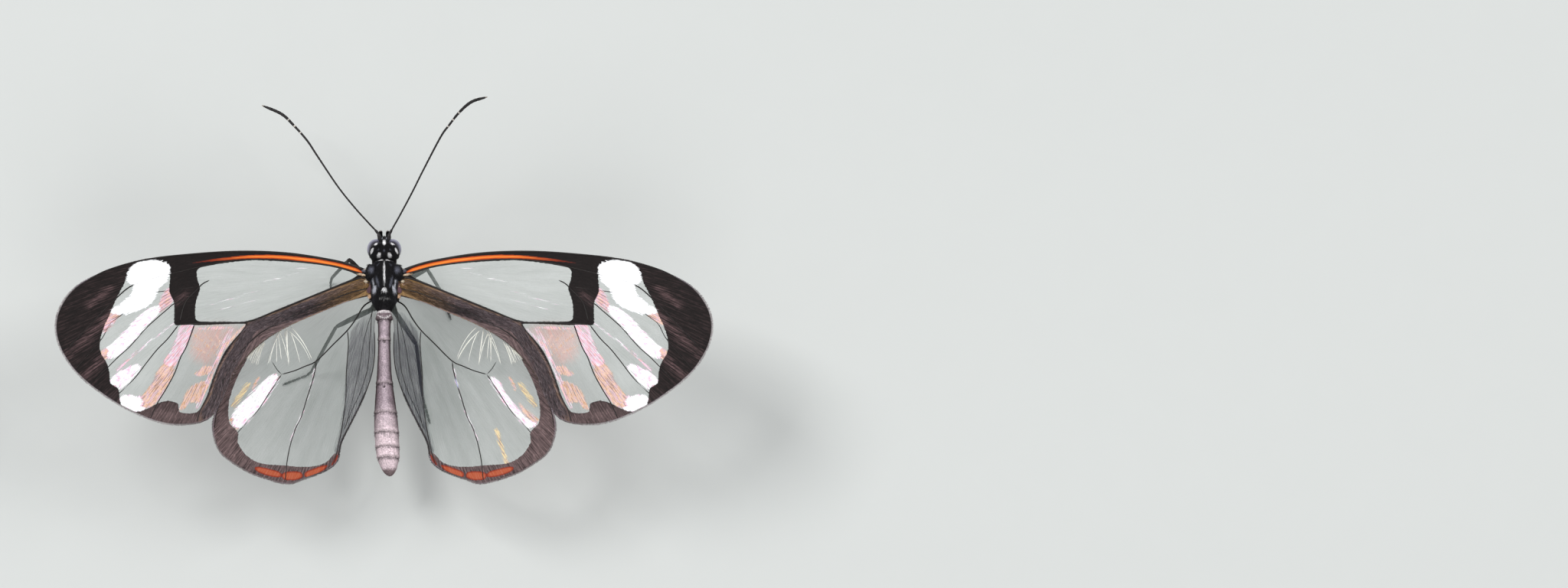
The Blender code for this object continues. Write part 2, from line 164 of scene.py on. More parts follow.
def easeRows(rows, at):
    # the columns of a table read at new values of its first column, smooth and without overshoot
    table = np.array(sorted(rows), float)
    keys, values = table[:, 0], table[:, 1:]
    gaps = np.diff(keys)[:, None]
    rise = np.diff(values, axis=0) / gaps
    slope = np.zeros_like(values)
    same = rise[:-1] * rise[1:] > 0
    with np.errstate(divide="ignore", invalid="ignore"):
        slope[1:-1] = np.where(same, 2 * rise[:-1] * rise[1:] / (rise[:-1] + rise[1:]), 0)
    slope[0], slope[-1] = rise[0], rise[-1]
    at = np.clip(np.asarray(at, float), keys[0], keys[-1])
    i = np.clip(np.searchsorted(keys, at) - 1, 0, len(keys) - 2)
    t = ((at - keys[i]) / gaps[i, 0])[:, None]
    curve = ((1 + 2 * t) * (1 - t) ** 2 * values[i] + t * t * (3 - 2 * t) * values[i + 1]
             + gaps[i] * (t * (1 - t) ** 2 * slope[i] - t * t * (1 - t) * slope[i + 1]))
    return curve.T


def gauss(value, width):
    return np.exp(-(value / width) ** 2)


def unit(rows):
    return rows / np.maximum(np.linalg.norm(rows, axis=-1, keepdims=True), 1e-12)


def wobble(places, size, seed):
    # a soft even ripple between -1 and 1, the same on each run
    total = np.zeros(len(places))
    turns = np.random.default_rng(seed)
    for _ in range(5):
        lie = turns.normal(size=places.shape[1])
        wave = size * turns.uniform(0.7, 1.5)
        total += np.sin(places @ (lie / np.linalg.norm(lie)) * math.tau / wave + turns.uniform(0, math.tau))
    return total / 5


def mottled(colour, places, depth, size, seed):
    return np.array(colour) * (1 + depth * wobble(places, size, seed))[:, None]


def addGrid(bm, across, along, shape):
    # a grid whose corners (u, v), each 0 to 1, are moved to shape(u, v)
    made = bmesh.ops.create_grid(bm, x_segments=across, y_segments=along, size=0.5)["verts"]
    corners = np.array([vert.co[:2] for vert in made]) + 0.5
    for vert, spot in zip(made, toWorld(shape(corners[:, 0], corners[:, 1]))):
        vert.co = spot
    return made


def addRings(bm, sideCount, ringCount, place):
    # a skin of rings whose corners lie at place(ring, angle)
    def shape(u, v):
        return place(np.rint(v * (ringCount - 1)).astype(int), u * math.tau)

    made = addGrid(bm, sideCount, ringCount - 1, shape)
    bmesh.ops.remove_doubles(bm, verts=made, dist=1e-7)


def addTube(bm, path, radii, sideCount):
    # a round length along a path, closed to a point at both ends
    path = np.asarray(path, float)
    radii = np.array(radii, float)
    radii[0] = radii[-1] = 0.0
    along = unit(np.gradient(path, axis=0))
    side = np.zeros_like(path)
    first = np.cross(along[0], (0, 0, 1))
    side[0] = unit(first if np.linalg.norm(first) > 0.1 else np.cross(along[0], (0, 1, 0)))
    for k in range(1, len(path)):
        side[k] = unit(side[k - 1] - along[k] * (side[k - 1] @ along[k]))
    up = np.cross(side, along)

    def place(k, angle):
        out = side[k] * np.cos(angle)[:, None] + up[k] * np.sin(angle)[:, None]
        return path[k] + out * radii[k][:, None]

    addRings(bm, sideCount, len(path), place)


def putValues(mesh, name, values):
    layer = mesh.attributes.new(name, "FLOAT", "POINT")
    layer.data.foreach_set("value", np.full(len(mesh.vertices), values, np.float32))


def putPaint(mesh, colours):
    layer = mesh.attributes.new("paint", "FLOAT_COLOR", "POINT")
    flat = np.ones((len(mesh.vertices), 4), np.float32)
    flat[:, :3] = colours
    layer.data.foreach_set("color", flat.ravel())


def putUv(mesh, name, spots):
    # a UV map from one spot for each corner
    layer = mesh.uv_layers.new(name=name)
    corner = np.empty(len(mesh.loops), np.int32)
    mesh.loops.foreach_get("vertex_index", corner)
    layer.data.foreach_set("uv", spots[corner].astype(np.float32).ravel())


def newObject(name, data):
    made = bpy.data.objects.new(name, data)
    bpy.context.scene.collection.objects.link(made)
    return made


def addPiece(mesh, look, slot, *nodes):
    mesh.materials.append(finish[look])
    mesh.shade_smooth()
    piece = newObject(mesh.name, mesh)
    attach(piece, "root")
    if nodes:
        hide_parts(*nodes)
    return piece


def meshFrom(bm, name, recalc=True):
    if recalc:
        # on pieces this small the turn is judged by the faces' stored normals
        bm.normal_update()
        bmesh.ops.recalc_face_normals(bm, faces=bm.faces)
    mesh = bpy.data.meshes.new(name)
    bm.to_mesh(mesh)
    bm.free()
    return mesh


def meshRows(items, key):
    # three numbers for each corner of a mesh
    flat = np.empty(len(items) * 3, np.float32)
    items.foreach_get(key, flat)
    return flat.reshape(-1, 3)


def meshPlaces(mesh):
    # the corners of a mesh, back in mm
    return meshRows(mesh.vertices, "co") / mm - origin


def addPainted(bm, name, paint, look, slot, *nodes):
    # paint is one colour, one for each corner, or worked out from the corners' places
    mesh = meshFrom(bm, name)
    putPaint(mesh, paint(meshPlaces(mesh)) if callable(paint) else paint)
    addPiece(mesh, look, slot, *nodes)


def setStage():
    tilt = math.radians(studio["cameraTilt"])
    imageUp = Vector((0, math.cos(tilt), math.sin(tilt)))
    outwards = Vector((0, -math.sin(tilt), math.cos(tilt)))
    back = Vector(toWorld((0, 0, 0)))
    eye = back + outwards * studio["cameraDistance"] * mm
    aim = back + Vector((studio["aimRight"] * mm, 0, 0)) + imageUp * studio["aimUp"] * mm
    lookBack = (eye - aim).normalized()
    right = imageUp.cross(lookBack).normalized()
    camera = newObject("camera", bpy.data.cameras.new("camera"))
    camera.data.sensor_width = studio["sensor"]
    camera.data.lens = studio["sensor"] * studio["cameraDistance"] / studio["viewWidth"]
    camera.data.clip_start = 0.01
    camera.data.clip_end = 30
    turn = Matrix((right, lookBack.cross(right), lookBack)).transposed().to_4x4()
    camera.matrix_world = Matrix.Translation(eye) @ turn
    bpy.context.scene.camera = camera

    bm = bmesh.new()
    bmesh.ops.create_grid(bm, x_segments=4, y_segments=4, size=studio["floorSize"] * mm / 2)
    mesh = meshFrom(bm, "floor")
    mesh.materials.append(floorPaper())
    newObject("floor", mesh)

    for name, (spot, edge, watts) in studio["lights"].items():
        lamp = bpy.data.lights.new(name, "AREA")
        lamp.size = edge * mm
        lamp.energy = watts
        holder = newObject(name, lamp)
        holder.location = Vector(spot) * mm
        holder.rotation_euler = (-holder.location).to_track_quat("-Z", "Y").to_euler()
    world = bpy.data.worlds.new("studioSky")
    world.use_nodes = True
    sky = world.node_tree.nodes["Background"].inputs
    sky["Color"].default_value = (*studio["skyColour"], 1)
    sky["Strength"].default_value = studio["skyStrength"]
    bpy.context.scene.world = world
    bpy.context.scene.view_settings.view_transform = "Standard"


def addNode(tree, kind, **settings):
    node = tree.nodes.new("ShaderNode" + kind)
    for name, value in settings.items():
        setattr(node, name, value)
    return node


def feed(tree, node, values):
    # each socket, by name or number, takes a link from another socket, or a plain number or colour
    for key, value in values.items():
        socket = node.inputs[key]
        if isinstance(value, bpy.types.NodeSocket):
            tree.links.new(value, socket)
        elif isinstance(value, tuple) and len(value) == 3 and socket.type == "RGBA":
            socket.default_value = (*value, 1)
        else:
            socket.default_value = value
    return node


def doMath(tree, operation, a, b=0.0, c=0.0):
    return feed(tree, addNode(tree, "Math", operation=operation), {0: a, 1: b, 2: c}).outputs[0]


def mixColours(tree, factor, a, b, mode="MIX"):
    node = addNode(tree, "Mix", data_type="RGBA", blend_type=mode)
    return feed(tree, node, {0: factor, 6: a, 7: b}).outputs[2]


def mixValues(tree, factor, a, b):
    return feed(tree, addNode(tree, "Mix", data_type="FLOAT"), {0: factor, 2: a, 3: b}).outputs[0]


def stretch(tree, value, low, high, toLow=0.0, toHigh=1.0, kind="SMOOTHSTEP"):
    node = addNode(tree, "MapRange", interpolation_type=kind)
    return feed(tree, node, {0: value, 1: low, 2: high, 3: toLow, 4: toHigh}).outputs[0]


def readValue(tree, name, output="Fac"):
    return addNode(tree, "Attribute", attribute_name=name).outputs[output]


def scaled(tree, vector, factors):
    return feed(tree, addNode(tree, "VectorMath", operation="MULTIPLY"), {0: vector, 1: factors}).outputs[0]


def noiseAt(tree, vector, factors, detail, roughness=0.5):
    values = {"Vector": scaled(tree, vector, factors), "Scale": 1.0, "Detail": detail, "Roughness": roughness}
    return feed(tree, addNode(tree, "TexNoise"), values).outputs["Fac"]


def objectPlace(tree):
    return addNode(tree, "TexCoord").outputs["Object"]


def newMaterial(name):
    material = bpy.data.materials.new(name)
    material.use_nodes = True
    tree = material.node_tree
    return material, tree, tree.nodes["Principled BSDF"]


def newGroup(name, inputs, outputs):
    group = bpy.data.node_groups.new(name, "ShaderNodeTree")
    for way, sockets in (("INPUT", inputs), ("OUTPUT", outputs)):
        for socketName, kind in sockets.items():
            group.interface.new_socket(socketName, in_out=way, socket_type="NodeSocket" + kind)
    return group, group.nodes.new("NodeGroupInput").outputs, group.nodes.new("NodeGroupOutput")


def placeGroup(tree, group, values):
    return feed(tree, addNode(tree, "Group", node_tree=group), values).outputs


def bumpBy(tree, height, strength, distance):
    values = {"Height": height, "Strength": strength, "Distance": distance}
    return feed(tree, addNode(tree, "Bump"), values).outputs[0]


def floorPaper():
    material, tree, shader = newMaterial("floorPaper")
    colour = studio["floorColour"]
    darker = tuple(0.985 * c for c in colour)
    grain = noiseAt(tree, objectPlace(tree), (300.0, 300.0, 300.0), 3.0)
    feed(tree, shader, {"Base Color": mixColours(tree, grain, darker, colour),
                        "Roughness": 0.85, "Specular IOR Level": 0.2})
    return material


def makeGrainGroup():
    # fine scales: how light each one is, and how it stands up
    group, given, result = newGroup(
        "scaleGrain", {"Place": "Vector", "Per Metre": "Float", "Contrast": "Float"},
        {"Shade": "Float", "Height": "Float"})
    cells = addNode(group, "TexVoronoi", feature="F1")
    feed(group, cells, {"Vector": given["Place"], "Scale": given["Per Metre"]})
    split = feed(group, addNode(group, "SeparateColor"), {0: cells.outputs["Color"]})
    swing = doMath(group, "MULTIPLY", doMath(group, "SUBTRACT", split.outputs[0], 0.5), given["Contrast"])
    feed(group, result, {"Shade": doMath(group, "ADD", swing, 1.0),
                         "Height": doMath(group, "SUBTRACT", 1.0, cells.outputs["Distance"])})
    return group


wingMasks = ("Cover", "Brown", "Gold", "Stripe", "Dusk", "Patch", "Pearl", "Tint", "Veil", "Rim", "Streak")
wingTones = {
    # the dark and the light end of each colour
    "film": ((0.24, 0.285, 0.26), (0.36, 0.40, 0.38)),
    "black": ((0.0070, 0.0045, 0.0043), (0.095, 0.056, 0.058)),
    "brown": ((0.040, 0.026, 0.026), (0.200, 0.135, 0.134)),
    "gold": ((0.075, 0.036, 0.014), (0.36, 0.22, 0.09)),
    "patch": ((0.84, 0.86, 0.93), (0.98, 0.98, 0.975)),
    "rim": (0.36, 0.30, 0.36), "dusk": (0.16, 0.016, 0.006),
    # the painted reflection and its dull places, then the warmth where each further colour starts and where
    # it is full
    "pearl": (0.97, 0.97, 0.97), "dullReflection": (0.33, 0.18, 0.15),
    "warmer": [(0.10, 0.35, (0.90, 0.66, 0.82)), (0.35, 0.60, (0.84, 0.47, 0.54)),
               (0.65, 0.90, (0.90, 0.60, 0.46)), (0.95, 1.35, (0.60, 0.34, 0.19)),
               (1.6, 1.9, (0.86, 0.68, 0.36))],
    # factors on the veil's and the stripe's own colours
    "veilLight": (1.9, 1.6, 1.5), "stripeEdge": (0.55, 0.28, 0.30), "stripeLight": (1.2, 1.9, 3.2),
}


def makeWingGroup():
    # the layers of a wing: clear film, veil, painted reflections, scales, stripe, white patch and pale rim
    inputs = {"Flow": "Vector", **{name: "Float" for name in wingMasks}, "Thick": "Float",
              "Shade": "Float", "Stripe Colour": "Color", "Veil Colour": "Color"}
    group, take, result = newGroup(
        "wingLayers", inputs, {"Colour": "Color", "Alpha": "Float", "Roughness": "Float", "Height": "Float"})
    mix, blend, ramp, calc, noise = [
        partial(tool, group) for tool in (mixColours, mixValues, stretch, doMath, noiseAt)]
    tones = wingTones
    flow = take["Flow"]
    hair = noise(flow, (0.55, 11.0, 1.0), 4.0, 0.6)
    teeth = calc("SUBTRACT", noise(flow, (2.2, 8.0, 1.0), 3.0, 0.65), 0.5)
    broad = noise(flow, (0.30, 1.6, 1.0), 2.0)
    mottle = noise(flow, (1.8, 5.0, 1.0), 4.0, 0.7)
    fray = calc("SUBTRACT", hair, 0.5)

    def layer(name, ragged, soft, by=teeth):
        return ramp(calc("MULTIPLY_ADD", by, ragged, take[name]), -soft, soft)

    def times(a, b):
        return calc("MULTIPLY", a, b)

    def tinted(colour, factors):
        return mix(1.0, colour, factors, "MULTIPLY")

    # the veil is a hairy field on the hindwing and a painted warm reflection on the forewing
    veil = layer("Veil", 0.35, 0.16, fray)
    veilThick = times(ramp(hair, 0.32, 0.68, 0.36, 0.88), take["Thick"])
    veilTone = mix(mottle, take["Veil Colour"], tinted(take["Veil Colour"], tones["veilLight"]))
    colour = mix(veil, mix(ramp(broad, 0.35, 0.65), *tones["film"]), veilTone)
    alpha = blend(veil, ramp(hair, 0.3, 0.8, 0.12, 0.19), times(veilThick, ramp(mottle, 0.2, 0.6, 0.82, 1.0)))

    # the painted reflection runs from white over pink and violet to gold, with thin places between
    pearl = layer("Pearl", 0.7, 0.07, fray)
    warm = calc("ADD", take["Tint"], times(calc("SUBTRACT", mottle, 0.5), 3.0))
    warm = calc("MULTIPLY_ADD", fray, 0.9, warm)
    sheen = tones["pearl"]
    for start, full, warmer in tones["warmer"]:
        sheen = mix(ramp(warm, start, full), sheen, warmer)
    heat = calc("MINIMUM", take["Tint"], 1.0)
    dull = times(ramp(fray, 0.03, -0.12), ramp(heat, 0.12, 0.6))
    colour = mix(pearl, colour, mix(dull, sheen, tones["dullReflection"]))
    thin = ramp(calc("MULTIPLY_ADD", heat, -0.10, mottle), 0.30, 0.52, 0.42, 1.0)
    reflectionAlpha = times(thin, calc("MULTIPLY_ADD", heat, -0.14, 0.95))
    alpha = blend(pearl, alpha, times(reflectionAlpha, ramp(hair, 0.22, 0.5, 0.70, 1.0)))

    cover = layer("Cover", 0.20, 0.03)
    raised = calc("MULTIPLY_ADD", take["Streak"], 0.09, hair)
    black = mix(times(ramp(raised, 0.45, 0.80), take["Streak"]), *tones["black"])
    scales = mix(take["Brown"], black, mix(ramp(hair, 0.30, 0.72), *tones["brown"]))
    scales = mix(take["Gold"], scales, mix(ramp(hair, 0.25, 0.75), *tones["gold"]))
    colour = mix(cover, colour, tinted(scales, take["Shade"]))
    alpha = blend(cover, alpha, 0.985)

    stripe = layer("Stripe", 0.14, 0.04)
    stripeTone = mix(ramp(take["Stripe"], 0.02, 0.17),
                     tinted(take["Stripe Colour"], tones["stripeEdge"]), take["Stripe Colour"])
    stripeTone = mix(take["Dusk"], stripeTone, tones["dusk"])
    colour = mix(stripe, colour, mix(
        ramp(hair, 0.35, 0.75), stripeTone, tinted(stripeTone, tones["stripeLight"])))
    alpha = blend(stripe, alpha, 1.0)

    patch = layer("Patch", 0.75, 0.04)
    colour = mix(patch, colour, mix(ramp(hair, 0.25, 0.6), *tones["patch"]))
    alpha = blend(patch, alpha, 0.96)

    rim = ramp(take["Rim"], 0.18, 0.04)
    solid = calc("MAXIMUM", cover, calc("MAXIMUM", patch, stripe))
    feed(group, result, {
        "Colour": mix(times(rim, 0.8), colour, tones["rim"]), "Alpha": blend(rim, alpha, 1.0),
        "Roughness": blend(solid, blend(pearl, 0.14, 0.34), 0.72), "Height": times(hair, solid)})
    return group


def wingMaterial(wing, wingGroup, grainGroup):
    material, tree, shader = newMaterial(wing["word"] + "WingFilm")
    flow = addNode(tree, "UVMap", uv_map="Flow").outputs[0]
    grain = placeGroup(tree, grainGroup, {
        "Place": scaled(tree, flow, (0.45, 1.0, 1.0)), "Per Metre": 9.0, "Contrast": 0.5})
    layers = placeGroup(tree, wingGroup, {
        **{name: readValue(tree, name.lower()) for name in wingMasks}, "Flow": flow, "Shade": grain["Shade"],
        "Stripe Colour": wing["stripeColour"], "Veil Colour": wing["veilColour"], "Thick": wing["veilThick"]})
    facing = feed(tree, addNode(tree, "LayerWeight"), {"Blend": 0.35}).outputs
    edgeOn = doMath(tree, "MULTIPLY", facing["Fresnel"], 0.30)
    height = doMath(tree, "ADD", layers["Height"], doMath(tree, "MULTIPLY", grain["Height"], 0.3))
    feed(tree, shader, {
        "Base Color": layers["Colour"], "Roughness": layers["Roughness"],
        "Alpha": doMath(tree, "MAXIMUM", layers["Alpha"], edgeOn),
        "Normal": bumpBy(tree, height, 0.35, 0.00004), "Specular IOR Level": 0.2})
    return material


# roughness, scales per metre, contrast, bump in metres
scaleLooks = {
    "bodyScales": (0.60, 12000.0, 0.6, 0.00002),
    "bodyHair": (0.50, 14000.0, 0.25, 0.00001),
    "wingHair": (0.55, 14000.0, 0.25, 0.00001),
    "wingVeins": (0.42, 9000.0, 0.3, 0.00002),
    "limbScales": (0.45, 9000.0, 0.5, 0.00002),
}


def scaleMaterial(name, grainGroup):
    # scales whose colour is laid on in the attribute "paint"
    roughness, perMetre, contrast, bump = scaleLooks[name]
    material, tree, shader = newMaterial(name)
    place = scaled(tree, objectPlace(tree), (1.0, 0.5, 1.0))
    grain = placeGroup(tree, grainGroup, {"Place": place, "Per Metre": perMetre, "Contrast": contrast})
    feed(tree, shader, {
        "Base Color": mixColours(tree, 1.0, readValue(tree, "paint", "Color"), grain["Shade"], "MULTIPLY"),
        "Roughness": stretch(tree, grain["Shade"], 0.6, 1.4, roughness + 0.12, roughness - 0.12, "LINEAR"),
        "Normal": bumpBy(tree, grain["Height"], 0.6, bump), "Specular IOR Level": 0.3})
    return material


def eyeMaterial(grainGroup):
    material, tree, shader = newMaterial("facetedEye")
    facets = placeGroup(tree, grainGroup, {
        "Place": objectPlace(tree), "Per Metre": 26000.0, "Contrast": 0.3})
    lap = readValue(tree, "lap")
    facing = feed(tree, addNode(tree, "LayerWeight"), {"Blend": 0.45}).outputs["Facing"]
    # a painted lilac reflection at the eye's grazing edge, strongest to the front, the outside and the top
    rim = doMath(tree, "MULTIPLY", stretch(tree, facing, 0.15, 0.80), readValue(tree, "lilacReflection"))
    colour = mixColours(tree, rim, (0.006, 0.003, 0.008), (0.30, 0.29, 0.42))
    colour = mixColours(tree, 1.0, colour, facets["Shade"], "MULTIPLY")
    feed(tree, shader, {
        "Base Color": mixColours(tree, lap, colour, readValue(tree, "paint", "Color")),
        "Roughness": mixValues(tree, lap, 0.22, 0.75), "Coat Weight": mixValues(tree, lap, 0.5, 0.0),
        "Coat Roughness": 0.10, "Normal": bumpBy(tree, facets["Height"], 0.4, 0.000010)})
    return material


def makeFinishes():
    grain = makeGrainGroup()
    layers = makeWingGroup()
    for wing in (foreWing, hindWing):
        finish[wing["word"] + "Wing"] = wingMaterial(wing, layers, grain)
    for name in scaleLooks:
        finish[name] = scaleMaterial(name, grain)
    finish["eye"] = eyeMaterial(grain)


# the wings are those of the right side, and the left ones mirror them
wingShape = {
    "rootX": 1.8, "rootHeight": -0.64, "rise": 0.32, "flattening": 0.0021,
    "wingsApart": 1.12, "foldDrop": 1.3, "foldReachX": 14.0, "foldStartY": -1.6, "foldLength": 15.0,
    "thickness": 0.045, "sag": 0.07, "ripple": 0.035,
}

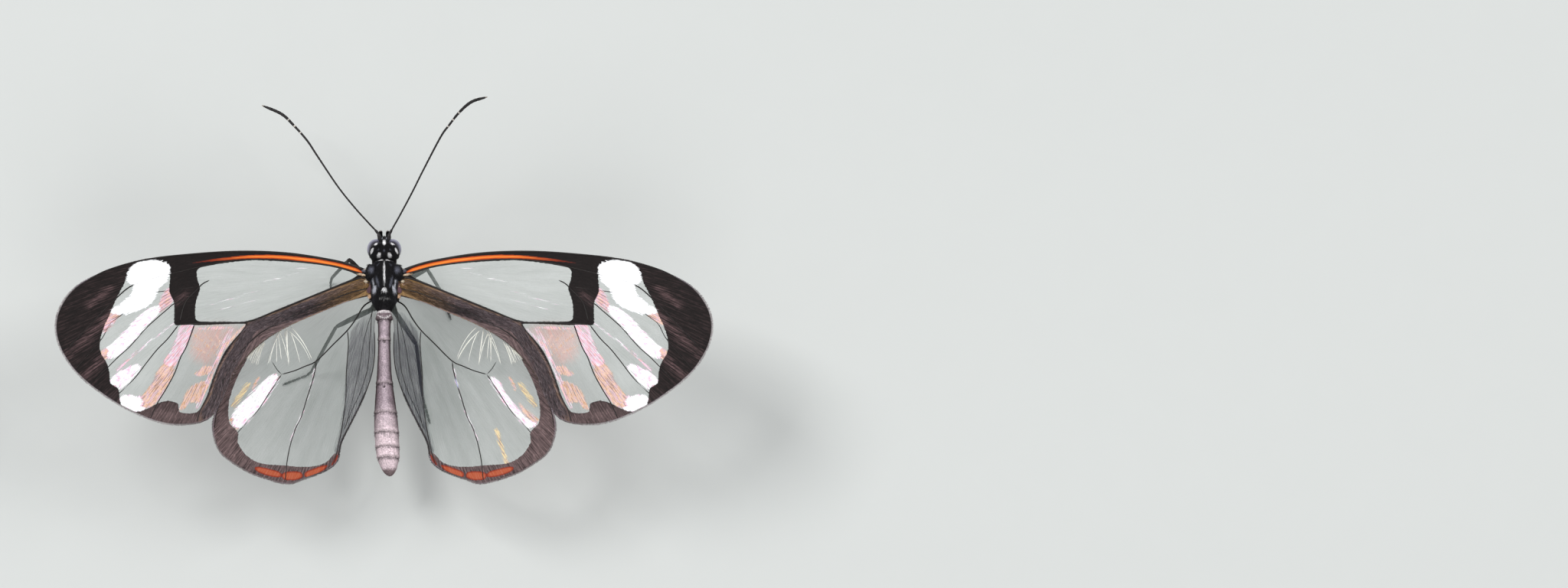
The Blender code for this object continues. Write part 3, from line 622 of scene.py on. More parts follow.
foreWing = {
    "word": "fore", "rimFrom": 3.0,
    "margin": [
        (0.95, 0.62), (1.9, 0.95), (4.2, 1.5), (8.3, 1.9), (12.5, 1.8), (16.7, 1.3), (20.8, 0.6),
        (24.0, -0.55), (26.6, -2.1), (28.0, -4.0), (28.4, -6.0), (27.8, -8.1), (26.2, -10.2), (23.6, -12.1),
        (21.2, -13.3), (18.8, -14.0), (16.6, -13.9), (15.1, -13.3), (14.2, -12.0), (13.3, -9.9),
        (12.1, -8.0), (10.4, -6.2), (8.2, -4.7), (5.3, -3.2), (3.4, -2.25), (0.95, -1.25)],
    "apexKnot": 8, "tornusKnot": 17, "grid": (210, 110), "drawnIn": 0.12,
    "innerFlow": (1.0, 0.4), "outerFlow": (9.5, 3.5),
    "cellWindow": [
        (2.6, 0.42), (4.3, 0.84), (6.6, 1.02), (9.2, 1.05), (11.6, 0.97), (14.5, 0.45), (16.1, -0.05),
        (16.15, -1.1), (15.95, -1.8), (16.3, -3.0), (16.35, -4.3), (16.05, -4.7), (14.0, -4.62),
        (11.8, -4.42), (9.2, -3.22), (6.5, -1.92), (2.7, -0.02)],
    "outerWindow": [
        (12.0, -4.72), (14.0, -4.86), (16.3, -5.06), (17.2, -5.02), (18.1, -5.15), (18.15, -3.9),
        (18.2, -3.1), (18.6, -2.2), (18.55, -0.7), (19.1, 0.2), (21.2, 0.0), (22.2, -1.0), (22.5, -1.8),
        (23.1, -3.0), (23.6, -4.3), (24.2, -5.7), (24.5, -6.8), (24.5, -7.8), (23.9, -8.9), (23.7, -9.7),
        (23.6, -10.6), (22.9, -11.1), (22.8, -12.1), (22.4, -12.9), (21.3, -13.0), (20.5, -12.7),
        (19.6, -12.2), (18.7, -11.9), (17.8, -12.1), (17.7, -12.8), (16.8, -12.9), (16.0, -12.6),
        (15.35, -11.3), (14.85, -9.8), (14.4, -8.6), (13.8, -7.3), (13.1, -6.3), (12.3, -5.3)],
    "bandEdge": [(1.0, 0.0), (2.2, 0.0), (6.5, -2.0), (9.2, -3.3), (11.8, -4.5), (13.0, -6.3), (14.3, -8.6),
                 (15.2, -11.3), (15.8, -12.5), (16.2, -14.2)],
    "stripe": [(2.0, 0.58, 0.08), (2.6, 0.76, 0.18), (3.85, 1.02, 0.20), (5.2, 1.20, 0.195),
               (6.5, 1.33, 0.185), (9.15, 1.42, 0.17), (11.6, 1.28, 0.15), (13.1, 1.07, 0.125),
               (14.7, 0.80, 0.09), (16.6, 0.44, 0.02)],
    "stripeColour": (0.80, 0.170, 0.018), "stripeFade": (11.8, 15.6),
    "patch": [
        (18.55, 0.05), (19.1, 0.4), (20.1, 0.5), (21.4, 0.2), (22.1, -0.5), (22.3, -1.2), (22.2, -1.6),
        (21.8, -1.8), (21.9, -2.6), (22.8, -3.5), (23.7, -4.3), (22.6, -4.5), (21.5, -4.2), (20.4, -3.6),
        (19.8, -2.8), (19.5, -2.0), (18.8, -1.4), (18.6, -0.6)],
    # painted reflections of the membrane: warmth from 0 white to 1 gold, then its outline
    "sheens": [
        (0.05, [(18.9, -3.4), (20.1, -3.7), (21.4, -4.7), (22.4, -5.9), (23.3, -6.8), (24.3, -7.8),
                (24.2, -8.4), (23.2, -8.3), (21.9, -7.1), (20.6, -5.5), (19.7, -4.5)]),
        (0.55, [(18.3, -1.9), (18.8, -2.0), (19.2, -2.6), (19.5, -3.4), (19.6, -4.2), (18.9, -3.8),
                (18.25, -3.0)]),
        (0.75, [(22.8, -4.1), (23.8, -4.5), (24.3, -5.5), (23.5, -5.2), (22.8, -4.6)]),
        (0.80, [(23.5, -7.4), (24.4, -7.7), (24.4, -8.5), (23.6, -8.3)]),
        (0.12, [(21.4, -8.75), (22.6, -9.4), (23.5, -10.05), (23.7, -10.7), (23.2, -11.1), (22.7, -10.8),
                (21.6, -9.75), (21.0, -9.15)]),
        (0.75, [(22.9, -9.9), (23.5, -10.05), (23.7, -10.7), (23.2, -11.1), (22.9, -10.7)]),
        (0.00, [(20.6, -12.4), (20.9, -11.7), (21.5, -11.6), (22.2, -11.5), (22.8, -12.0), (22.4, -12.9),
                (21.4, -13.0), (20.6, -12.8)]),
        (0.40, [(16.45, -5.1), (17.0, -5.0), (17.6, -5.2), (18.1, -6.7), (19.1, -8.7), (18.4, -9.3),
                (17.7, -8.0), (17.15, -7.0)]),
        (0.85, [(18.1, -8.6), (19.2, -8.7), (20.3, -10.7), (21.0, -11.9), (20.8, -12.7), (19.7, -12.2),
                (18.85, -10.8), (18.2, -9.4)]),
        (0.95, [(15.3, -10.0), (16.2, -10.2), (17.0, -10.9), (17.75, -12.5), (17.5, -12.7), (16.7, -11.9),
                (16.0, -12.0), (15.6, -11.0)]),
        (0.85, [(14.9, -8.7), (15.6, -8.7), (16.4, -9.4), (16.1, -9.6), (15.2, -9.3)]),
    ],
    # painted reflections that only one wing shows
    "rightSheens": [(0.10, [(22.8, -9.6), (23.4, -10.0), (23.5, -10.6), (22.9, -10.9)])],
    "leftSheens": [(0.55, [(22.9, -4.4), (24.4, -5.0), (25.2, -6.0), (24.3, -6.3), (23.4, -5.4)])],
    "rightLines": [(0.30, [(12.3, -5.1, 0.02), (13.25, -6.2, 0.05), (14.0, -7.3, 0.07), (14.62, -8.6, 0.08),
                           (15.0, -9.8, 0.09)])],
    "leftLines": [(0.80, [(11.95, -4.72, 0.03), (12.35, -5.15, 0.09), (13.27, -6.2, 0.10),
                          (14.0, -7.3, 0.10), (14.62, -8.6, 0.11), (15.1, -9.9, 0.12),
                          (15.6, -11.1, 0.08)])],
    # and painted reflections along lines, with the half width at each point
    "sheenLines": [
        (0.08, [(18.2, -5.0, 0.03), (19.3, -5.9, 0.05), (20.6, -7.1, 0.06)]),
        (0.40, [(20.4, -6.9, 0.03), (21.9, -8.2, 0.07), (23.0, -9.4, 0.11)]),
        (0.80, [(13.90, -7.50, 0.05), (14.15, -6.60, 0.07), (14.50, -5.90, 0.03)]),
        (1.05, [(14.10, -7.70, 0.00), (14.60, -6.70, 0.05), (15.60, -5.60, 0.03)]),
        (1.15, [(14.30, -7.90, 0.00), (15.20, -6.90, 0.06), (16.40, -5.90, 0.04)]),
        (1.15, [(14.60, -8.10, -0.02), (15.60, -7.40, 0.04), (16.75, -6.90, 0.03)]),
        (0.60, [(13.20, -5.10, 0.04), (14.60, -5.22, 0.10), (16.10, -5.35, 0.06)]),
        (0.00, [(20.9, -9.1, 0.06), (22.7, -11.1, 0.12)]),
        (0.45, [(13.1, -5.2, 0.04), (14.0, -7.2, 0.10), (14.9, -9.0, 0.11), (15.6, -11.0, 0.12),
                (16.2, -12.4, 0.12)]),
        (0.40, [(13.3, -5.3, 0.05), (14.2, -7.0, 0.09), (14.4, -7.9, 0.08)]),
        (0.00, [(7.4, 0.2, -0.03), (9.3, -0.5, -0.01), (11.4, -1.1, -0.03)]),
        (0.00, [(10.6, -1.5, -0.03), (13.2, -2.5, 0.0), (15.6, -3.3, -0.03)]),
        (0.10, [(11.0, -2.4, -0.04), (12.8, -3.1, -0.02), (14.2, -3.5, -0.03)]),
        (0.00, [(6.1, 0.7, -0.04), (7.6, 0.5, -0.02), (9.0, 0.3, -0.04)]),
    ],
    # brownish light streaks in the dark border
    "lightStreaks": [
        [(23.5, -4.4), (24.7, -5.6), (26.0, -7.05), (27.5, -8.5)],
        [(24.1, -8.3), (25.0, -9.3), (26.2, -10.2)],
        [(23.7, -2.25), (25.4, -3.7)],
        [(17.2, -2.4), (18.0, -3.2)]],
    # a painted warm reflection in the window behind the cell, laid on as a thin veil
    "veil": [(12.6, -4.9), (16.4, -5.1), (17.0, -7.2), (16.2, -8.5), (14.9, -8.6), (13.7, -6.9)],
    "veilColour": (0.42, 0.235, 0.205), "veilThick": 0.50,
    # radius at the root and at the end, then the points
    "veins": {
        "costa": (0.115, 0.06, [(1.2, 0.55), (2.2, 0.96), (4.3, 1.42), (8.3, 1.80), (12.5, 1.70),
                                (16.7, 1.2), (20.6, 0.5), (24.0, -0.65), (26.4, -2.15)]),
        "radius": (0.095, 0.05, [(1.2, 0.30), (2.4, 0.50), (4.3, 0.92), (6.6, 1.10), (9.2, 1.14),
                                 (11.6, 1.05), (14.5, 0.52), (17.5, -0.35), (21.3, -1.6), (23.2, -3.1),
                                 (25.7, -5.9), (27.2, -7.6)]),
        "cubitus": (0.10, 0.07, [(1.2, -0.15), (2.2, 0.02), (6.5, -2.0), (9.2, -3.3), (11.8, -4.5),
                                 (14.0, -4.72), (16.4, -4.95), (17.8, -5.1)]),
        "cellEnd": (0.05, 0.06, [(15.1, -1.0), (15.7, -1.35), (16.2, -1.9), (17.2, -3.1), (17.7, -4.9)]),
        "cubitusOne": (0.06, 0.045, [(16.4, -4.98), (17.1, -7.0), (17.6, -8.0), (18.1, -9.4), (18.8, -10.8),
                                     (19.6, -12.2), (20.2, -13.6)]),
        "cubitusTwo": (0.06, 0.05, [(11.8, -4.5), (12.25, -5.3), (13.05, -6.3), (13.75, -7.3),
                                    (14.35, -8.6), (14.78, -9.8), (15.28, -11.3), (15.9, -12.6),
                                    (16.2, -13.7)]),
        "mediaThree": (0.055, 0.04, [(17.8, -5.15), (18.7, -6.4), (19.6, -7.4), (20.5, -8.6), (21.5, -10.0),
                                     (22.8, -11.4), (23.6, -12.0)]),
        "mediaTwo": (0.05, 0.04, [(17.3, -3.0), (18.2, -3.3), (18.7, -3.75), (19.6, -4.6), (20.6, -5.6),
                                  (21.9, -7.2), (23.1, -8.4), (25.0, -10.5)]),
        "mediaOne": (0.045, 0.035, [(16.4, -1.7), (18.5, -2.1), (20.6, -2.7), (22.8, -4.6), (23.7, -5.4),
                                    (24.5, -6.9), (26.7, -9.6)]),
        "anal": (0.09, 0.05, [(1.2, -0.75), (3.0, -1.35), (5.3, -2.4), (8.2, -3.9), (10.8, -5.5),
                              (12.6, -7.5), (13.9, -9.8), (14.9, -12.2), (15.6, -13.4)]),
    },
}

hindWing = {
    "word": "hind", "rimFrom": 2.2,
    "margin": [
        (0.85, -0.95), (1.7, -1.02), (3.0, -1.56), (5.0, -2.46), (9.0, -4.27), (12.0, -6.85), (13.7, -9.8),
        (14.6, -12.2), (14.9, -14.0), (14.3, -15.9), (12.9, -17.0), (11.2, -17.8), (8.5, -18.35),
        (6.9, -17.8), (5.0, -16.9), (4.0, -15.9), (3.66, -14.3), (2.85, -12.6), (2.0, -10.8), (1.40, -9.3),
        (0.95, -7.7), (0.76, -6.0), (0.78, -4.2), (0.62, -2.55)],
    "apexKnot": 8, "tornusKnot": 15, "grid": (150, 110), "drawnIn": 0.10, "innerFlow": (1.0, 0.4),
    "window": [
        (0.1, -1.0), (1.3, -1.25), (3.0, -1.8), (5.0, -2.7), (9.0, -4.5), (11.4, -6.8), (12.2, -8.2),
        (12.68, -9.1), (13.35, -11.0), (13.5, -12.4), (13.35, -13.4), (12.9, -13.8), (12.6, -14.3),
        (12.7, -14.9), (12.1, -15.9), (11.2, -16.5), (10.3, -16.7), (9.0, -16.7), (7.2, -16.7),
        (5.9, -16.5), (5.0, -16.1), (4.5, -15.5), (3.9, -14.9), (2.6, -13.0), (0.1, -9.0)],
    # the hairy field beside the abdomen
    "veil": [(0.3, -2.6), (1.6, -2.8), (2.9, -4.5), (3.15, -6.0), (3.36, -8.6), (3.55, -11.3),
             (3.85, -13.2), (4.3, -15.0), (4.1, -15.8), (3.0, -16.0), (0.3, -9.0), (0.1, -3.0)],
    "veilFrom": -3.0, "veilRise": 0.07,
    "veilColour": (0.020, 0.024, 0.034), "veilThick": 0.64,
    # painted reflections along lines, with the half width at each point
    "sheenLines": [
        (0.05, [(6.05, -8.0, 0.02), (6.3, -9.3, 0.05), (6.7, -10.7, 0.03)]),
        (0.10, [(7.0, -11.8, 0.03), (7.3, -12.5, 0.06), (7.9, -13.9, 0.04), (8.2, -15.0, 0.02)]),
        (0.15, [(9.0, -8.9, 0.05), (10.4, -11.2, 0.10), (12.2, -13.4, 0.08)])],
    # the orange stripe between the veins, with its half width at each point
    "segments": [
        [(4.03, -15.40, 0.05), (4.25, -15.90, 0.15), (4.52, -16.30, 0.08)],
        [(4.93, -16.40, 0.04), (5.36, -16.66, 0.21), (5.87, -16.95, 0.28), (6.38, -17.22, 0.31),
         (6.64, -17.34, 0.29)],
        [(7.38, -17.45, 0.30), (7.60, -17.50, 0.36), (8.00, -17.56, 0.40), (8.40, -17.61, 0.37),
         (8.54, -17.62, 0.33)],
        [(9.18, -17.54, 0.26), (9.50, -17.48, 0.30), (10.2, -17.36, 0.31), (10.9, -17.20, 0.24),
         (11.12, -17.14, 0.12)]],
    "stripeColour": (0.38, 0.070, 0.024),
    # painted reflections, each a warmth and an outline
    "sheens": [
        (0.18, [(9.2, -9.0), (9.9, -9.3), (10.6, -10.6), (11.3, -11.5), (12.2, -12.6), (13.2, -13.3),
                (12.85, -13.7), (12.4, -13.7), (11.6, -12.8), (10.8, -11.8), (9.9, -10.3)]),
        (0.90, [(11.6, -11.4), (12.4, -12.1), (13.4, -13.0), (13.2, -13.4), (12.3, -12.7)]),
        (2.10, [(11.5, -9.65), (11.75, -9.6), (12.5, -10.5), (13.3, -11.75), (13.05, -12.0),
                (12.2, -10.8)]),
        (0.85, [(10.8, -9.0), (10.95, -9.0), (11.5, -10.2), (11.35, -10.3)]),
    ],
    # painted reflections where the two wings catch the light in their own ways
    "rightSheens": [(1.90, [(9.6, -13.5), (9.75, -13.5), (10.1, -14.4), (10.35, -15.2), (10.55, -16.0),
                            (10.82, -16.8), (10.58, -16.85), (10.1, -15.5), (9.75, -14.3)])],
    "rightLines": [],
    "leftLines": [(0.80, [(9.00, -8.85, 0.05), (9.79, -9.93, 0.08), (10.76, -11.15, 0.08),
                          (11.84, -12.56, 0.09), (12.81, -13.78, 0.08)])],
    "leftSheens": [(0.02, [(9.2, -8.9), (9.8, -8.8), (11.2, -10.2), (12.5, -11.6), (13.3, -12.8),
                           (12.85, -13.7), (12.4, -13.7), (11.6, -12.8), (10.8, -11.8), (9.9, -10.3)])],
    "veins": {
        "costa": (0.055, 0.045, [(1.2, -1.08), (1.9, -1.20), (3.0, -1.70), (4.95, -2.60), (8.9, -4.40),
                                 (11.9, -6.95), (13.55, -9.9), (14.45, -12.3), (14.7, -14.0)]),
        "stem": (0.07, 0.048, [(1.0, -1.6), (1.8, -2.2), (2.5, -3.4), (3.2, -4.4), (4.4, -5.7), (5.9, -7.3),
                               (6.9, -7.85), (7.8, -8.3), (8.9, -8.7)]),
        "inner": (0.05, 0.04, [(3.2, -4.4), (3.12, -5.7), (3.3, -8.3), (3.35, -10.4), (3.7, -13.1),
                               (4.1, -15.1), (4.5, -16.5)]),
        "middle": (0.05, 0.045, [(5.9, -7.35), (6.0, -8.1), (6.3, -9.3), (6.7, -10.6), (7.2, -12.3),
                                 (7.7, -13.4), (8.1, -14.7), (8.4, -16.2), (8.6, -18.1)]),
        "outer": (0.05, 0.035, [(8.9, -8.7), (9.9, -10.3), (10.8, -11.8), (11.6, -12.85), (12.4, -13.75),
                                (13.6, -15.4)]),
        "spur": (0.045, 0.035, [(8.9, -8.7), (9.3, -8.3), (9.75, -7.6)]),
        "anal": (0.038, 0.03, [(1.0, -2.2), (1.12, -3.2), (1.25, -5.1), (1.45, -7.6), (2.1, -9.8),
                               (2.9, -11.6), (3.5, -13.2)]),
        "rear": (0.03, 0.055, [(0.84, -4.3), (0.82, -6.0), (1.00, -7.7), (1.46, -9.3), (2.06, -10.75),
                               (2.92, -12.55), (3.70, -14.25), (4.02, -15.6)]),
        "analTwo": (0.035, 0.025, [(1.05, -2.6), (1.7, -4.9), (2.15, -7.6), (2.7, -10.2), (3.3, -12.6)]),
    },
}


def wingHeight(wing, x, y):
    # the hindwing lies below the forewing, and folds down beside the abdomen
    out = x - wingShape["rootX"]
    height = wingShape["rootHeight"] + wingShape["rise"] * out - wingShape["flattening"] * out * out
    if wing is foreWing:
        return height
    inward = np.maximum(0.0, 1 - x / wingShape["foldReachX"])
    back = np.maximum(0.0, wingShape["foldStartY"] - y) / wingShape["foldLength"]
    return height - wingShape["wingsApart"] - wingShape["foldDrop"] * inward * back


def onWing(wing, plan, side, lift=0.0):
    x, y = plan.T
    return np.stack((x * side, y, wingHeight(wing, x, y) + lift), axis=1)


def wingNormals(wing, plan, side):
    x, y = plan.T
    slopeX = (wingHeight(wing, x + 0.05, y) - wingHeight(wing, x - 0.05, y)) / 0.1
    slopeY = (wingHeight(wing, x, y + 0.05) - wingHeight(wing, x, y - 0.05)) / 0.1
    return unit(np.stack((-slopeX * side, -slopeY, np.ones(len(plan))), axis=1))


def wingSides(wing):
    # the front edge, the outer edge and the rear edge of a wing's margin, and its root edge
    knots = wing["margin"]
    whole = smoothLine(knots, 0.12)
    marks = [int(np.argmin(np.linalg.norm(whole - np.array(knots[k]), axis=1)))
             for k in (wing["apexKnot"], wing["tornusKnot"])]
    front = whole[:marks[0] + 1]
    outer = whole[marks[0]:marks[1] + 1][::-1]
    rear = whole[marks[1]:][::-1]
    root = np.array([rear[0], front[0]])
    return whole, front, outer, rear, root


def wingPlan(wing, u, v):
    # a patch between four edges: u runs from the root outwards, v from the rear edge forwards
    _, front, outer, rear, root = wingSides(wing)
    uu, vv = u[:, None], v[:, None]
    rows = (1 - vv) * alongLine(rear, u) + vv * alongLine(front, u)
    columns = (1 - uu) * alongLine(root, v) + uu * alongLine(outer, v)
    corners = ((1 - uu) * (1 - vv) * rear[0] + (1 - uu) * vv * front[0]
               + uu * (1 - vv) * rear[-1] + uu * vv * front[-1])
    return rows + columns - corners


def drawIn(plan, whole, depth):
    # pulls the rim inwards, which leaves room for the fringe
    near = lineDistance(plan, whole)
    return plan + np.exp(-near / 0.6)[:, None] * unit(plan.mean(axis=0) - plan) * depth


def sheenValues(plan, wing, side):
    # how far each place lies inside a painted reflection, spot or line, and how warm it is there
    pearl = np.full(len(plan), -2.0)
    tint = np.zeros(len(plan))
    own = "right" if side > 0 else "left"
    outlines = wing["sheens"] + wing[own + "Sheens"]
    lines = wing["sheenLines"] + wing[own + "Lines"]
    reaches = [(warmth, insideCurve(plan, outline)) for warmth, outline in outlines]
    reaches += [(warmth, stripeBy(plan, rows)) for warmth, rows in lines]
    for warmth, reach in reaches:
        tint = np.where(reach > pearl, warmth, tint)
        pearl = np.maximum(pearl, reach)
    return pearl, tint


def flowFrom(plan, centre):
    # u outwards from a point and v round it, in mm: the lie of the scales
    away = plan - np.array(centre)
    return np.stack((np.linalg.norm(away, axis=1), np.arctan2(away[:, 1], away[:, 0]) * 14.0), axis=1)


def flowAlong(plan, points):
    # u along a line and v across it, in mm
    line = smoothLine(points, 0.8)
    gaps = np.linalg.norm(plan[:, None, :] - line[None, :, :], axis=2)
    nearest = np.argmin(gaps, axis=1)
    onwards = unit(np.gradient(line, axis=0))[nearest]
    along = reachAlong(line)[nearest] + np.sum((plan - line[nearest]) * onwards, axis=1)
    return np.stack((along, lineDistance(plan, line)), axis=1)


def foreWingMasks(plan):
    x, y = plan.T
    edge = np.array(foreWing["bandEdge"])
    behind = y < np.interp(x, *edge.T)
    # beyond the cell the scales fan out from a point further out
    beyond = (x > 17.2) | ((y < -4.75) & (x > 11.0))
    # browner towards the rear corner, golden at the root
    tailward = clamp((-y - 10.5) / 2.5) * clamp((25.0 - x) / 5.0)
    rootward = clamp(1 - (np.hypot(x - 1.4, y + 0.4) - 1.2) / 4.0)
    start, end = foreWing["stripeFade"]
    cell, outer, patch, veil = [
        insideCurve(plan, foreWing[name]) for name in ("cellWindow", "outerWindow", "patch", "veil")]
    streaks = [gauss(lineDistance(plan, np.array(line)), 0.38) for line in foreWing["lightStreaks"]]
    goldLine = 0.5 * gauss(lineDistance(plan, edge) - 0.16, 0.07)
    flow = np.where(beyond[:, None], *[flowFrom(plan, foreWing[name]) for name in ("outerFlow", "innerFlow")])
    return {
        "cover": -np.maximum(cell, outer), "brown": np.where(behind, 1.0, 0.75 * tailward),
        "gold": np.where(behind, np.maximum(rootward, goldLine), 0.0),
        "stripe": stripeBy(plan, foreWing["stripe"]), "dusk": clamp((x - start) / (end - start)),
        "patch": patch, "veil": veil * 0.22 - 0.06,
        "streak": np.clip((x - 18) / 12, 0.08, 0.35) + 0.95 * np.max(streaks, axis=0),
    }, np.where(behind[:, None], flowAlong(plan, foreWing["bandEdge"]), flow)


def hindWingMasks(plan):
    x, y = plan.T
    hairy = insideBy(plan, np.array(hindWing["veil"]))
    return {
        "cover": -insideCurve(plan, hindWing["window"]),
        "brown": 0.95, "gold": 0.0, "patch": -2.0, "streak": 0.6,
        "stripe": np.maximum(-2.0, np.max([stripeBy(plan, rows) for rows in hindWing["segments"]], axis=0)),
        "dusk": np.where(x < 4.8, 0.75, 0.0),
        "veil": np.minimum(hairy, (hindWing["veilFrom"] - y) * hindWing["veilRise"]),
    }, flowFrom(plan, hindWing["innerFlow"])


def buildWing(wing, side, word):
    bm = bmesh.new()
    whole = wingSides(wing)[0]
    veins = [smoothLine(points, 0.5) for _, _, points in wing["veins"].values()]
    kept = {}

    def shape(u, v):
        plan = drawIn(wingPlan(wing, u, v), whole, wing["drawnIn"])
        near = np.min([lineDistance(plan, vein) for vein in veins], axis=0)
        hollow = wingShape["sag"] * (1 - gauss(near, 0.9))
        kept["plan"] = plan
        return onWing(wing, plan, side, wingShape["ripple"] * wobble(plan, 5.0, 3) - hollow)

    addGrid(bm, *wing["grid"], shape)
    if side < 0:
        bmesh.ops.reverse_faces(bm, faces=bm.faces)
    kind = wing["word"]
    mesh = meshFrom(bm, kind + "Wing" + word, recalc=False)
    plan = kept["plan"]
    masks, flow = foreWingMasks(plan) if wing is foreWing else hindWingMasks(plan)
    masks["pearl"], masks["tint"] = sheenValues(plan, wing, side)
    masks["rim"] = np.where(plan[:, 0] < wing["rimFrom"], 1.0, lineDistance(plan, whole))
    for key, numbers in masks.items():
        putValues(mesh, key, numbers)
    putUv(mesh, "Flow", flow)
    piece = addPiece(mesh, kind + "Wing", kind + "wing", kind + "wing_" + word.lower())
    wall = piece.modifiers.new("film", "SOLIDIFY")
    wall.thickness = wingShape["thickness"] * mm
    wall.offset = 0.0


def buildVeins(wing, side, word):
    bm = bmesh.new()
    for start, end, points in wing["veins"].values():
        plan = smoothLine(points, 0.25)
        radii = start + (end - start) * np.linspace(0, 1, len(plan)) ** 0.7
        addTube(bm, onWing(wing, plan, side), radii, 8)

    def paint(places):
        colours = mottled((0.010, 0.007, 0.006), places, 0.3, 1.3, 5)
        plan = places[:, :2] * (side, 1)
        if wing is foreWing:
            # the white scales cover the veins too
            colours[insideCurve(plan, foreWing["patch"]) > 0.05] = (0.90, 0.90, 0.90)
        elif side > 0:
            x, y = plan.T
            # painted blueish glints on the middle veins of the right hindwing
            glint = (wobble(places, 0.6, 12) > 0.40) & (x > 6.0) & (x < 8.3) & (y < -9)
            colours[glint] = (0.40, 0.40, 0.60)
        return colours

    addPainted(bm, wing["word"] + "Veins" + word, paint, "wingVeins", wing["word"] + "wing")


locks = {
    # how light a lock may be, and each of its corners from root to tip
    "tones": (0.72, 1.28), "fade": (0.75, 0.75, 0.75, 1.0, 1.0, 1.0, 1.15),
    # its corners on the OFBake map, and their size there
    "bakeSpots": [(-1, -1), (1, -1), (0, -0.6), (-0.8, 0.3), (0.8, 0.3), (0, 0.3), (0, 1)],
    "bakeSize": 0.0015, "tipLift": 0.45, "rootWidth": 0.7, "rootDepth": 0.8,
}


def growCoat(name, columns, look, slot, flat=0.4):
    # locks, hairs or scales as one mesh: three corners at the root, three part way along, and a tip
    roots, normals, lies, lengths, widths, lifts, colours, bake = columns
    count = len(roots)
    normals, lies = unit(normals), unit(lies)
    lies = unit(lies - normals * np.sum(lies * normals, axis=1)[:, None])
    aside = np.cross(lies, normals)
    size, width, rise = [np.asarray(column)[:, None] for column in (lengths, widths, lifts)]
    half = width / 2

    def onwards(start, angle):
        return start + lies * size * 0.5 * np.cos(angle) + normals * size * 0.5 * np.sin(angle)

    middle = onwards(roots, rise)
    sunk = roots - normals * half * locks["rootDepth"]
    corners = np.empty((count, 7, 3))
    for k, (across, upward) in enumerate(((1.0, -flat), (-1.0, -flat), (0.0, flat))):
        offset = aside * half * across + normals * half * upward
        corners[:, k] = sunk + offset * locks["rootWidth"]
        corners[:, 3 + k] = middle + offset
    corners[:, 6] = onwards(middle, rise * locks["tipLift"])
    first = np.arange(count)[:, None] * 7
    shapes = ((0, 1, 4, 3), (1, 2, 5, 4), (2, 0, 3, 5), (3, 4, 6), (4, 5, 6), (5, 3, 6), (0, 2, 1))
    faces = [face for shape in shapes for face in (first + shape).tolist()]
    mesh = bpy.data.meshes.new(name)
    mesh.from_pydata(toWorld(corners.reshape(-1, 3)).tolist(), [], faces)
    tones = rng.uniform(*locks["tones"], count)
    painted = np.asarray(colours)[:, None, :] * tones[:, None, None] * np.array(locks["fade"])[None, :, None]
    putPaint(mesh, painted.reshape(-1, 3))
    pattern = locks["bakeSize"] * np.array(locks["bakeSpots"])
    putUv(mesh, "OFBake", np.repeat(np.clip(bake, 0.002, 0.998), 7, axis=0) + np.tile(pattern, (count, 1)))
    addPiece(mesh, look, slot)


def wingLies(way, side, rise):
    # ways in plan, raised to the slope of a wing
    return np.stack((way[:, 0] * side, way[:, 1], rise * way[:, 0]), axis=1)


def wingBake(plan):
    # where each place lies on the unwrapped wing
    return plan / (32.0, -21.0) + (0.05, 0.12)


fringes = {
    "spacing": 0.028, "length": 0.21, "from": 1.6,
    # share of the way round the margin, colour, length
    "fore": [
        (0.0, 0.020, 0.015, 0.015, 0.55), (0.36, 0.020, 0.015, 0.015, 0.55), (0.42, 0.38, 0.35, 0.35, 1.0),
        (0.66, 0.34, 0.31, 0.31, 1.0), (0.71, 0.060, 0.042, 0.036, 0.8), (0.85, 0.085, 0.055, 0.038, 0.7),
        (0.93, 0.30, 0.19, 0.095, 0.6), (1.0, 0.34, 0.22, 0.11, 0.6)],
    "hind": [
        (0.0, 0.050, 0.038, 0.034, 0.4), (0.28, 0.050, 0.040, 0.038, 0.5), (0.36, 0.28, 0.245, 0.245, 1.0),
        (0.62, 0.20, 0.165, 0.165, 1.0), (0.68, 0.075, 0.062, 0.062, 1.0), (1.0, 0.060, 0.055, 0.060, 1.0)],
}


def buildFringe(wing, side, word):
    whole = wingSides(wing)[0]
    count = int(reachAlong(whole)[-1] / fringes["spacing"])
    share = (np.arange(count) + rng.uniform(0.1, 0.9, count)) / count
    plan, along = placesOn(whole, share, 0.002)
    # away from the middle of the wing, or the other way where that still points into it
    out = np.stack((-along[:, 1], along[:, 0]), axis=1)
    out *= np.sign(np.sum(out * (plan - whole.mean(axis=0)), axis=1))[:, None]
    out[insideBy(plan + out * 0.3, whole) > 0] *= -1
    keep = plan[:, 0] > fringes["from"]
    plan, out, along, share = plan[keep], out[keep], along[keep], share[keep]
    count = len(plan)
    way = out + along * rng.normal(0.25, 0.25, count)[:, None]
    roots = onWing(wing, plan - out * 0.16, side, rng.uniform(-0.01, 0.02, count))
    at, *tables = np.array(fringes[wing["word"]]).T
    *colours, length = [np.interp(share, at, table) for table in tables]
    growCoat(wing["word"] + "Fringe" + word, (
        roots, wingNormals(wing, plan, side), wingLies(way, side, 0.3),
        fringes["length"] * rng.uniform(0.8, 1.15, count) * length, rng.uniform(0.05, 0.08, count),
        rng.uniform(-0.1, 0.25, count), np.stack(colours, axis=1), wingBake(plan),
    ), "wingHair", wing["word"] + "wing")


# hairs along the brown band behind the forewing's cell
bandHairs = {
    "count": 3200, "colour": (0.112, 0.087, 0.093), "rootColour": (0.22, 0.125, 0.050), "shadow": 0.72,
}


